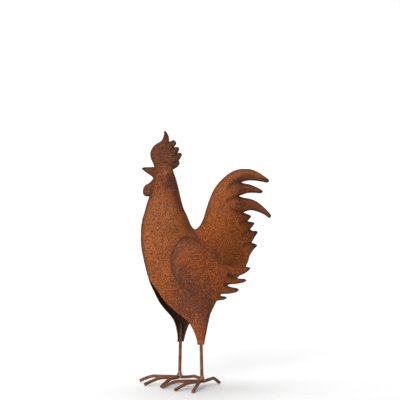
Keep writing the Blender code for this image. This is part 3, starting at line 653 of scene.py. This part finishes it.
def pressed_height(points, faces, held, held_offset, angle):
    """Offset of a pressed skin held along its edge: the stretched skin, and the arcs across it."""
    ends, strength, share = springs_of(points, faces)
    free = np.ones(len(points))
    free[held] = 0
    start = np.zeros(len(points))
    bulge = settle((ends, strength), free, share, start)
    start[held] = held_offset
    base = settle((ends, strength), free, np.zeros(len(points)), start)
    lean = slope_of(points, faces, bulge)
    half_width = np.sqrt(2 * bulge + (lean ** 2).sum(axis=1))
    middle = np.clip(2 * bulge / np.maximum(half_width, LEAST_WIDTH) ** 2, 0, 1)
    sine, cosine = np.sin(angle), np.cos(angle)
    arc = half_width * (np.sqrt(1 - (1 - middle) * sine ** 2) - cosine) / sine
    return base, arc


def clipped(masks):
    return {name: np.clip(values, 0, 1) for name, values in masks.items()}


def body_outline():
    """A half's outline, its offset from the seam plane, its held points and the seam's share."""
    seam = outline_of(SEAM)
    rear = outline_of([REAR_EDGE])
    bottom = outline_of([[REAR_EDGE[-1], FRONT_EDGE[0]]])
    opening = rear + bottom + outline_of([FRONT_EDGE])
    loop = np.array([point[:2] for point in seam + opening])
    offset = np.array([0.0] * len(seam) + [point[2] for point in opening])
    hem = len(seam) + len(rear)
    rim = np.arange(len(loop))
    held = np.setdiff1d(rim, rim[hem + 1:hem + len(bottom)])
    return loop, offset, held, len(seam)


def body_height(points, faces, loop, offset, held, folded):
    """Offset of the left half's outer skin from the seam plane."""
    turn = ramp(points[:, 1], *THIGH_TURN)
    angle = np.radians(SEAM_SLOPE + (THIGH_SLOPE - SEAM_SLOPE) * turn)
    base, arc = pressed_height(points, faces, held, offset[held] * LEG_UNIT / UNIT, angle)
    arc *= smooth_share(points, BODY_DEPTH)
    edge = edge_distance(points, loop)
    fold = FOLD_SLOPE * FOLD_REACH * np.tanh(edge / FOLD_REACH)
    fade = ramp(arc, 0, RELIEF_FROM_ARC)
    height = base + arc * (1 - folded) + fold * folded
    height += fade * pressed_lines(points, BODY_LINES)
    height += fade * unevenness(points, height, *BODY_WAVES)
    reach, rise = EYE_MOAT
    height += blobs(points, [(EYE, EYE_RADIUS, EYE_RISE),
                             (EYE, reach * EYE_RADIUS, rise * EYE_RISE)])
    for line in RIDGES:
        ridge = RIDGE_RISE * np.exp(-line_distance(points, line) / RIDGE_WIDTH)
        height += fade * ridge * ramp(edge, 0, RIDGE_FROM_EDGE)
    height[len(loop):] = np.maximum(height[len(loop):], LEAST_OFFSET)
    height[:len(loop)] = (base + arc)[:len(loop)]
    return height


def body_soot_and_shade(points, seam, folded):
    """Soot along the seam, on tips and along the wing's front, and painted shade in the grooves,
    below the ridges, behind the eye and under the wing's feathers.
    """
    x, z = points.T
    seam_edge = line_distance(points, seam)
    dark = SEAM_SOOT * bell(seam_edge, SEAM_SOOT_REACH)
    dark += FOLD_SOOT * folded * np.exp(-seam_edge / FOLD_SOOT_REACH)
    # soot on tips, and painted shade in the grooves, behind the eye and under the wing's feathers
    dark += blobs(points, SOOT_TIPS_AND_SHADE) + pressed_lines(points, BODY_GROOVE_SHADE)
    # painted shade on the lower face below each tail ridge
    for line in RIDGES:
        line_x, line_z = np.array(line).T
        below = ramp(np.interp(x, line_x, line_z) - z, 0, RIDGE_SHADE_STARTS)
        outward = ramp(x, line_x[0], line_x[-1])
        past = np.maximum(line_distance(points, line) - RIDGE_SHADE_WIDTH, 0)
        dark += (RIDGE_SHADE * below * bell(past, RIDGE_SHADE_REACH)
                 * (1 - RIDGE_SHADE_LOSS * outward))
    joint = bell(line_distance(points, WING[0][:JOINT_POINTS]), JOINT_SOOT_REACH)
    joint *= ramp(x, *JOINT_ENDS)
    behind = ramp(x, *JOINT_BEHIND_X) * ramp(z, *JOINT_BEHIND_Z)
    loss = JOINT_LOSS_BEHIND * behind + JOINT_LOSS_BELOW * ramp(z, *JOINT_BELOW_Z)
    return dark + joint * (JOINT_SOOT - loss)


def body_skin():
    """The left half's outer skin and its paint masks."""
    loop, offset, held, seam_count = body_outline()
    points, faces = fill_outline(loop, BODY_STEP)
    folded = np.clip(blobs(points, FOLDS), 0, 1)
    height = body_height(points, faces, loop, offset, held, folded)
    masks = {"patina_and_shade": blobs(points, PATINA_AND_SHADE),
             "rim": body_soot_and_shade(points, loop[:seam_count + 1], folded)}
    for name, places in (("pale", PALE), ("deep", DEEP), ("grey", GREY), ("tan_and_highlight", TAN_SPOTS_AND_HIGHLIGHT)):
        masks[name] = blobs(points, places)
    closed = np.flatnonzero(offset <= 0)
    return Skin(points, faces, height, closed, len(loop), clipped(masks))


def dented(skin):
    """The body's skin, pushed in a little under the front of the wing."""
    loop = np.array(outline_of(WING))
    deep = edge_distance(skin.points, loop) * inside(skin.points, loop)
    share = ramp(deep, 0, DENT_FULL) * ramp(skin.points[:, 0], *DENT_ENDS)
    return skin._replace(height=skin.height - BODY_DENT * share)


def skin_tree(skin):
    """Search tree of the left skin's outer side, in metres."""
    verts = [Vector((x, -y, z)) for (x, z), y in zip(skin.points * UNIT,
                                                     skin.height * UNIT + SEAM_GAP / 2)]
    return BVHTree.FromPolygons(verts, skin.faces.tolist())


def body_offset(tree, point):
    """Offset of the body's outer skin at a place (x, z), in drawn units."""
    start = Vector((point[0] * UNIT, -1.0, point[1] * UNIT))
    hit = tree.ray_cast(start, Vector((0, 1, 0)))[0]
    return 0.0 if hit is None else -hit.y / UNIT


def wing_masks(points, near, upper, stand, flanged):
    """Paint masks of the wing: near is the distance from its edge, the others are its regions."""
    x, z = points.T
    top = upper * ramp(x, *WING_TOP_X)
    # the purple band is weaker on the top edge, where it is painted shade
    purple = flanged * (1 - BAND_PURPLE_LOSS * top)
    purple *= bell(near - BAND_PURPLE_AT, BAND_PURPLE_REACH)
    dark = WING_SOOT * bell(near, WING_SOOT_REACH) * (1 - WING_SOOT_LOSS * flanged * top)
    dark *= 1 - WING_SOOT_LOSS * (1 - upper) * (1 - stand)
    grey = ramp(z, *BAND_GREY_Z) * ramp(x, *BAND_GREY_X)
    grey *= BAND_GREY * bell(near - BAND_GREY_AT, BAND_GREY_REACH)
    return clipped({
        "patina_and_shade": purple + blobs(points, WING_PATINA),
        # soot along the edge and on the tips, and painted shade in the slits between the feathers
        "rim": dark + blobs(points, WING_SOOT_TIPS) + pressed_lines(points, WING_SLIT_SHADE),
        # painted highlight on the dome's shoulder
        "pale": blobs(points, WING_HIGHLIGHT),
        "grey": grey + blobs(points, WING_GREY),
        "deep": blobs(points, WING_DEEP),
    })


def wing_skin(body_tree):
    """The left wing's outer skin, ground flush with the body in front, standing clear behind."""
    loop = np.array(outline_of(WING))
    points, faces = fill_outline(loop, WING_STEP)
    x, z = points.T
    rest = np.array([body_offset(body_tree, point) for point in points])
    clear = rest + WING_CLEAR * SHEET / UNIT
    away = eased(ramp(x, *WING_FREE))
    edge = clear * (1 - away) + np.maximum(clear, WING_TIP_OFFSET) * away
    edge += blobs(points, WING_NOTCHES)
    rim = np.arange(len(loop))
    angle = np.full(len(points), math.radians(WING_SLOPE))
    base, arc = pressed_height(points, faces, rim, edge[rim], angle)
    near = edge_distance(points, loop)
    stand, upper = ramp(x, *WING_STANDS), ramp(z, *WING_UPPER)
    flanged = upper * ramp(x, *WING_FLANGE_ENDS) + (1 - upper) * (1 - stand)
    arc *= 1 - WING_ARC_LOSS * ramp(x, *WING_FEATHERS)
    rise = np.maximum(base + arc - clear, 0)
    rise *= 1 - flanged * (1 - eased(ramp(near, *WING_FLANGE)))
    height = (rest - WING_SINK) * (1 - stand) + clear * stand + rise
    fade = ramp(near, 0, WING_LINES_FULL)
    height += fade * pressed_lines(points, WING_LINES)
    fold = WING_FOLD * WING_FOLD_REACH * np.tanh(near / WING_FOLD_REACH)
    height += fold * ramp(x, *WING_FOLD_X)
    height += fade * unevenness(points, height, *WING_WAVES)
    masks = wing_masks(points, near, upper, stand, flanged)
    return Skin(points, faces, height, np.zeros(0, dtype=int), len(loop), masks)


def add_piece(name, mesh):
    piece = bpy.data.objects.new(name, mesh)
    bpy.context.scene.collection.objects.link(piece)
    return piece


def sheet_piece(name, skin, side):
    """Closed sheet of true thickness from an outer skin, on side -1 (left) or 1 (right)."""
    count = len(skin.points)
    outer = skin.height * UNIT
    lean = slope_of(skin.points, skin.faces, skin.height)
    stretch = np.minimum(np.sqrt(1 + (lean ** 2).sum(axis=1)), STEEPEST_WALL)
    inner = np.maximum(outer - SHEET * stretch, 0)
    x, z = (skin.points * UNIT).T
    layers = [np.stack([x, side * (offset + SEAM_GAP / 2), z], axis=1)
              for offset in (outer, inner)]
    partner = np.arange(count) + count
    partner[skin.closed] = skin.closed
    walls = []
    for i in range(skin.rim_count):
        j = (i + 1) % skin.rim_count
        corners = list(dict.fromkeys((i, j, int(partner[j]), int(partner[i]))))
        if len(corners) > 2:
            walls.append(corners)
    faces = skin.faces.tolist() + partner[skin.faces][:, ::-1].tolist() + walls
    mesh = bpy.data.meshes.new(name)
    mesh.from_pydata(np.vstack(layers), [], faces)
    masks = {mask: np.tile(values, 2) for mask, values in skin.masks.items()}
    # the inner skin is marked for painted shade
    masks["shaded_inside"] = np.repeat([0.0, 1.0], count)
    masks["shaded_inside"][skin.closed] = 0
    for mask, values in masks.items():
        layer = mesh.attributes.new(mask, "FLOAT", "POINT")
        layer.data.foreach_set("value", values.astype(np.float32))
    clean_mesh(mesh)
    return add_piece(name, mesh)


def clean_mesh(mesh):
    """Take out loose points, turn the faces outwards, and smooth all but the sharp edges."""
    draft = bmesh.new()
    draft.from_mesh(mesh)
    loose = [vert for vert in draft.verts if not vert.link_faces]
    bmesh.ops.delete(draft, geom=loose, context="VERTS")
    bmesh.ops.recalc_face_normals(draft, faces=draft.faces)
    if draft.calc_volume(signed=True) < 0:
        bmesh.ops.reverse_faces(draft, faces=draft.faces)
    draft.to_mesh(mesh)
    draft.free()
    mesh.shade_smooth()
    mesh.set_sharp_from_angle(angle=math.radians(SHARP_EDGE))


def ring_mesh(name, rings):
    """A closed, smooth mesh through rings of places."""
    draft = bmesh.new()
    rings = [[draft.verts.new(place) for place in ring] for ring in rings]
    sides = len(rings[0])
    for one, two in zip(rings, rings[1:]):
        for k in range(sides):
            draft.faces.new((one[k], one[(k + 1) % sides], two[(k + 1) % sides], two[k]))
    draft.faces.new(rings[0])
    draft.faces.new(rings[-1])
    bmesh.ops.recalc_face_normals(draft, faces=draft.faces)
    mesh = bpy.data.meshes.new(name)
    draft.to_mesh(mesh)
    draft.free()
    mesh.shade_smooth()
    return mesh


def tube(name, centres, radii, sides, uneven):
    """A closed tube along a path, one radius to a ring, with a slightly waving skin."""
    rings = []
    across = None
    for i, centre in enumerate(centres):
        ahead = centres[min(i + 1, len(centres) - 1)] - centres[max(i - 1, 0)]
        ahead.normalize()
        if across is None:
            across = ahead.orthogonal().normalized()
        across = (across - ahead * across.dot(ahead)).normalized()
        other = ahead.cross(across)
        ring = []
        for k in range(sides):
            turn = 2 * math.pi * k / sides
            out = across * math.cos(turn) + other * math.sin(turn)
            wave = 1 + uneven * noise.noise((centre + out * ROD) / ROD)
            ring.append(centre + out * radii[i] * wave)
        rings.append(ring)
    mesh = ring_mesh(name, rings)
    mesh.set_sharp_from_angle(angle=math.radians(SHARP_EDGE))
    return add_piece(name, mesh)


def rod_piece(name, path):
    """A rod with chamfered ends along a path."""
    centres = [Vector(p) for p in path]
    start = (centres[1] - centres[0]).normalized() * ROD_CHAMFER
    end = (centres[-1] - centres[-2]).normalized() * ROD_CHAMFER
    centres = [centres[0], centres[0] + start] + centres[1:-1] + [centres[-1] - end, centres[-1]]
    radii = [ROD / 2] * len(centres)
    radii[0] = radii[-1] = ROD / 2 - ROD_CHAMFER
    return tube(name, centres, radii, ROD_SIDES, ROD_UNEVEN)


def toe_path(length, bend_share, *lifts):
    """Side view of a toe: distance from the leg axis and height of the rod's centre."""
    arch, start_lift, tip_lift = (lift * ROD for lift in lifts)
    root = ROD / 2
    bend = length * bend_share
    ground = ROD / 2 * ROD_FLAT + tip_lift
    path = []
    for i in range(TOE_STEPS):
        share = i / TOE_STEPS
        path.append((root + (bend - root) * share,
                     HUB_HEIGHT + start_lift * (1 - share) + arch * math.sin(math.pi / 2 * share)))
    fall = HUB_HEIGHT + arch - ground
    for i in range(TOE_STEPS + 1):
        share = i / TOE_STEPS
        path.append((bend + (length - bend) * share,
                     ground + fall * (1 - share ** TOE_FALL) * (1 - TOE_CURL * share)))
    return smooth_stretch(path, ROD_STEP) + [np.array(path[-1])]


def leg_axis(node):
    """Lowest and highest point on the axis of a CAD leg."""
    low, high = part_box(node)
    ends = []
    for z in (low.z, high.z):
        near = [v.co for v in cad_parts[node].data.vertices if abs(v.co.z - z) < ROD / 10]
        ends.append(sum(near, Vector()) / len(near))
    return ends


def heading_of(degrees):
    """Level direction at an angle from +X."""
    return Vector((math.cos(math.radians(degrees)), math.sin(math.radians(degrees)), 0))


def weld_piece(name, foot, lean, headings):
    """The brazed fillet: a flare round the leg that runs out a little along each toe."""
    bottom = HUB_HEIGHT - ROD / 4
    rings = []
    for i in range(WELD_RINGS + 1):
        share = i / WELD_RINGS
        z = bottom + (WELD_HEIGHT + ROD / 4) * share
        flare = (1 - share) ** WELD_FLARE
        waist = ROD / 2 * WELD_TOP + (WELD_RADIUS - ROD / 2) * flare
        fade = (1 - WELD_LUMPS_BELOW) * math.sin(math.pi * min(1, share * WELD_LUMPS_RUN))
        fade += WELD_LUMPS_BELOW * (1 - share)
        ring = []
        for k in range(WELD_SIDES):
            turn = 360 * k / WELD_SIDES
            run = 0.0
            for heading in headings:
                apart = (turn - heading + 180) % 360 - 180
                run += math.exp(-(apart / WELD_RUN_SPREAD) ** 2)
            out = heading_of(turn)
            place = foot + lean * z + out * (waist + WELD_RUN * run * flare ** 2)
            lump = noise.noise(place / WELD_LUMP_SIZE)
            lump += 0.5 * noise.noise(place / (WELD_LUMP_SIZE / 2))
            ring.append(place + out * WELD_LUMPS * lump * fade)
        rings.append(ring)
    return add_piece(name, ring_mesh(name, rings))


def seam_bead(skin):
    """The weld along the seam between the halves, just inside the outline."""
    loop = skin.points[:skin.rim_count]
    before, after = np.roll(loop, 1, axis=0), np.roll(loop, -1, axis=0)
    along = (after - before)[skin.closed]
    inward = np.stack([along[:, 1], -along[:, 0]], axis=1)
    inward /= np.linalg.norm(inward, axis=1)[:, None]
    centre = (loop[skin.closed] + inward * BEAD_INSIDE * SEAM_BEAD / UNIT) * UNIT
    path = [Vector((x, 0, z)) for x, z in centre[:-1]]
    radii = [SEAM_BEAD * (1 + BEAD_LUMPS * noise.noise(p / BEAD_LUMP_SIZE)) for p in path]
    return tube("seam_bead", path, radii, BEAD_SIDES, BEAD_UNEVEN)


def add_node(tree, kind, links=None, values=None, **settings):
    made = tree.nodes.new(kind)
    for key, value in settings.items():
        setattr(made, key, value)
    for key, value in (values or {}).items():
        made.inputs[key].default_value = value
    for key, socket in (links or {}).items():
        tree.links.new(socket, made.inputs[key])
    return made


def grain(place, scale, detail=2.0, roughness=0.6, distortion=0.0):
    """Noise over a place on the piece."""
    made = add_node(place.id_data, "ShaderNodeTexNoise", {"Vector": place},
                    {"Scale": scale, "Detail": detail, "Roughness": roughness,
                     "Distortion": distortion})
    return made.outputs["Fac"]


def spread(value, low, high, top=1.0):
    """0 where value is below low, rising smoothly to top where it is above high."""
    made = add_node(value.id_data, "ShaderNodeMapRange", {"Value": value},
                    {"From Min": low, "From Max": high, "To Min": 0.0, "To Max": top},
                    interpolation_type="SMOOTHSTEP")
    return made.outputs["Result"]


def times(one, two):
    made = add_node(one.id_data, "ShaderNodeMath", {0: one}, operation="MULTIPLY")
    if isinstance(two, float):
        made.inputs[1].default_value = two
    else:
        one.id_data.links.new(two, made.inputs[1])
    return made.outputs[0]


def mask(place, name, strength=1.0):
    """A mask painted on the mesh."""
    value = add_node(place.id_data, "ShaderNodeAttribute", attribute_name=name).outputs["Fac"]
    return times(value, strength)


def covered(colour, covers):
    """A colour under others, each put on by an amount; all are plain colours."""
    for amount, cover in covers:
        made = add_node(amount.id_data, "ShaderNodeMix", {0: amount}, data_type="RGBA")
        if isinstance(colour, tuple):
            made.inputs[6].default_value = (*colour, 1.0)
        else:
            amount.id_data.links.new(colour, made.inputs[6])
        made.inputs[7].default_value = (*cover, 1.0)
        colour = made.outputs[2]
    return colour


def start_material(name):
    made = bpy.data.materials.new(name)
    made.use_nodes = True
    tree = made.node_tree
    place = add_node(tree, "ShaderNodeTexCoord").outputs["Object"]
    return made, tree.nodes["Principled BSDF"], place


def metal_skin(shader, place, colour, value, smoothest, roughest, depth):
    """The colour, roughness that follows value, and pits as a bump of a depth in metres."""
    tree = place.id_data
    tree.links.new(colour, shader.inputs["Base Color"])
    rough = add_node(tree, "ShaderNodeMapRange", {"Value": value},
                     {"To Min": smoothest, "To Max": roughest})
    tree.links.new(rough.outputs["Result"], shader.inputs["Roughness"])
    pits = grain(place, scale=650, detail=3, roughness=0.65)
    waves = grain(place, scale=140)
    height = add_node(tree, "ShaderNodeMath", {0: pits, 1: waves}, operation="ADD").outputs[0]
    bump = add_node(tree, "ShaderNodeBump", {"Height": height},
                    {"Strength": 0.8, "Distance": depth})
    tree.links.new(bump.outputs["Normal"], shader.inputs["Normal"])


def rust_sheet(name):
    """Fine-grained orange rust with dark specks, purple-brown patches and sooty edges, with
    painted shade in grooves, slits, below ridges, on the neck's rear and on inner skins, and
    painted highlights on the wing and the eye.
    """
    made, shader, place = start_material(name)
    broad = grain(place, scale=22, detail=4)
    blotch = grain(place, scale=75, detail=3)
    fine = grain(place, scale=400, roughness=0.7)
    light = grain(place, scale=440, detail=1.0, roughness=0.5, distortion=0.4)
    # Painted masks, broken up by noise
    # purple-brown heat tint, which also carries painted shade on the neck's rear, above the wing
    # and along its top edge
    purple = times(mask(place, "patina_and_shade"), spread(grain(place, scale=40, detail=4), 0.25, 0.60))
    grey = times(mask(place, "grey"), spread(grain(place, scale=90, detail=3), 0.2, 0.6, top=0.75))
    # soot on edges and tips, with painted shade in grooves, slits, below ridges, behind the eye
    # and under the wing's feathers
    rim = times(mask(place, "rim"), spread(grain(place, scale=160), 0.15, 0.5))
    colour = covered(ORANGE, [
        (spread(broad, 0.40, 0.66, top=0.75), BROWN),
        # paler rust on the body, and the painted highlight on the wing's shoulder
        (mask(place, "pale", 0.75), PALE_RUST_AND_HIGHLIGHT),
        (mask(place, "deep", 0.9), DEEP_RUST),
        (spread(blotch, 0.52, 0.70, top=0.45), BROWN),
        (purple, PURPLE),
        (grey, GREY_RUST),
        (spread(fine, 0.45, 0.64, top=0.8), SPECK),
        (spread(light, 0.50, 0.66, top=0.55), GRAIN),
        # Purple and grey rust also dulls the grains
        (times(purple, 0.4), PURPLE),
        (times(grey, 0.4), GREY_RUST),
        # tan spots, and the eye's painted highlight
        (mask(place, "tan_and_highlight", 0.75), TAN),
        (rim, EDGE_SOOT_AND_SHADE),
        # painted shade on the inner skins of the shell
        (spread(mask(place, "shaded_inside"), 0.2, 0.9, top=0.85), INSIDE_SHADE),
    ])
    shader.inputs["Specular IOR Level"].default_value = 0.06
    metal_skin(shader, place, colour, fine, 0.72, 0.98, SHEET_PITS)
    return made


def rust_rod(name):
    """Smoother brown rust on drawn rod, with painted shade where it runs up inside the thighs."""
    made, shader, place = start_material(name)
    fine = grain(place, scale=480, roughness=0.7)
    level = add_node(place.id_data, "ShaderNodeSeparateXYZ", {0: place}).outputs["Z"]
    colour = covered(ROD_LIGHT, [
        (spread(grain(place, scale=60, detail=4), 0.38, 0.66), ROD_DARK),
        (spread(fine, 0.55, 0.68, top=0.6), SPECK),
        (spread(grain(place, scale=110), 0.55, 0.72, top=0.35), ORANGE),
        # painted shade on a leg inside the thigh
        (spread(level, *ROD_SHADE_Z, top=0.85), INSIDE_SHADE),
    ])
    shader.inputs["Specular IOR Level"].default_value = 0.12
    metal_skin(shader, place, colour, fine, 0.5, 0.85, ROD_PITS)
    return made


def braze(name, metal):
    """Golden or coppery, partly rusted brazing metal."""
    made, shader, place = start_material(name)
    fine = grain(place, scale=700, roughness=0.7)
    colour = covered(metal, [
        (spread(grain(place, scale=170, detail=4), 0.40, 0.62), BROWN),
        (spread(fine, 0.55, 0.70, top=0.6), SPECK),
    ])
    shader.inputs["Metallic"].default_value = 0.35
    metal_skin(shader, place, colour, fine, 0.35, 0.7, BRAZE_PITS)
    return made


def floor_finish(name):
    made, shader, place = start_material(name)
    tone = spread(grain(place, scale=3), 0.3, 0.7, top=0.03)
    colour = covered(FLOOR, [(tone, FLOOR_DARK)])
    place.id_data.links.new(colour, shader.inputs["Base Color"])
    shader.inputs["Roughness"].default_value = 0.9
    return made


def place_piece(piece, node, finish):
    piece.data.materials.append(finish)
    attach(piece, "root")
    if node:
        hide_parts(node)


def build_bird():
    sheet, wing_sheet = rust_sheet("rusted_sheet"), rust_sheet("rusted_wing_sheet")
    body = body_skin()
    wing = wing_skin(skin_tree(body))
    body = dented(body)
    for side, word in SIDES:
        half = sheet_piece(f"pressed_half_{word}", body, side)
        place_piece(half, f"half_{word}", sheet)
    for side, word in SIDES:
        plate = sheet_piece(f"wing_plate_{word}", wing, side)
        place_piece(plate, f"wing_{word}", wing_sheet)
    place_piece(seam_bead(body), None, sheet)


def build_feet():
    rod = rust_rod("rusted_rod")
    metal = {"left": braze("coppery_brazing", COPPER), "right": braze("golden_brazing", GOLD)}
    for side, word in SIDES:
        low, high = leg_axis(f"leg_{word}")
        count = int((high - low).length / ROD_STEP)
        path = [low.lerp(high, i / count) for i in range(count + 1)]
        place_piece(rod_piece(f"leg_rod_{word}", path), f"leg_{word}", rod)
        lean = (high - low) / (high.z - low.z)
        foot = low - lean * low.z
        hub = foot + lean * HUB_HEIGHT
        hub.z = 0
        axis = 180.0 - side * FOOT_TURN
        headings = [axis - side * toe[1] for toe in TOES[word]]
        for heading, (label, _, length, *shape) in zip(headings, TOES[word]):
            along = heading_of(heading)
            path = [hub + along * out + Vector((0, 0, up)) for out, up in toe_path(length, *shape)]
            piece = rod_piece(f"toe_rod_{word}_{label}", path)
            place_piece(piece, f"toe_{word}_{label}", rod)
        weld = weld_piece(f"brazed_fillet_{word}", foot, lean, headings)
        place_piece(weld, f"weld_{word}", metal[word])


def build_stage():
    """A pale floor that sweeps up behind the figure."""
    profile = [(FLOOR_FRONT, 0.0), (SWEEP_FROM, 0.0)]
    for i in range(1, SWEEP_STEPS + 1):
        turn = math.radians(90 * i / SWEEP_STEPS)
        profile.append((SWEEP_FROM + SWEEP_RADIUS * math.sin(turn),
                        SWEEP_RADIUS - SWEEP_RADIUS * math.cos(turn)))
    profile.append((SWEEP_FROM + SWEEP_RADIUS, WALL_TOP))
    draft = bmesh.new()
    rows = []
    for out, up in profile:
        rows.append([draft.verts.new(FORWARD * out + RIGHT * across + Vector((0, 0, up)))
                     for across in (-FLOOR_HALF_WIDTH, FLOOR_HALF_WIDTH)])
    for one, two in zip(rows, rows[1:]):
        draft.faces.new((one[0], one[1], two[1], two[0]))
    mesh = bpy.data.meshes.new("floor")
    draft.to_mesh(mesh)
    draft.free()
    mesh.shade_smooth()
    mesh.materials.append(floor_finish("pale_floor"))
    floor = add_piece("floor", mesh)


def build_light():
    world = bpy.data.worlds.new("soft_world")
    world.use_nodes = True
    sky = world.node_tree.nodes["Background"]
    sky.inputs["Color"].default_value = (1, 1, 1, 1)
    sky.inputs["Strength"].default_value = SKY_STRENGTH
    bpy.context.scene.world = world
    for name, place, target, size, power in LIGHTS:
        data = bpy.data.lights.new(name, "AREA")
        data.shape = "SQUARE"
        data.size = size
        data.energy = power
        lamp = add_piece(name, data)
        lamp.location = place
        ahead = Vector(target) - Vector(place)
        lamp.rotation_euler = ahead.to_track_quat("-Z", "Y").to_euler()


def build_camera():
    data = bpy.data.cameras.new("camera")
    data.lens = LENS
    data.sensor_width = SENSOR
    camera = add_piece("camera", data)
    camera.location = CAMERA_AT
    camera.rotation_euler = FORWARD.to_track_quat("-Z", "Y").to_euler()
    bpy.context.scene.camera = camera


build_bird()
build_feet()
build_stage()
build_light()
build_camera()
bpy.context.scene.view_settings.view_transform = "Standard"
bpy.context.view_layer.update()
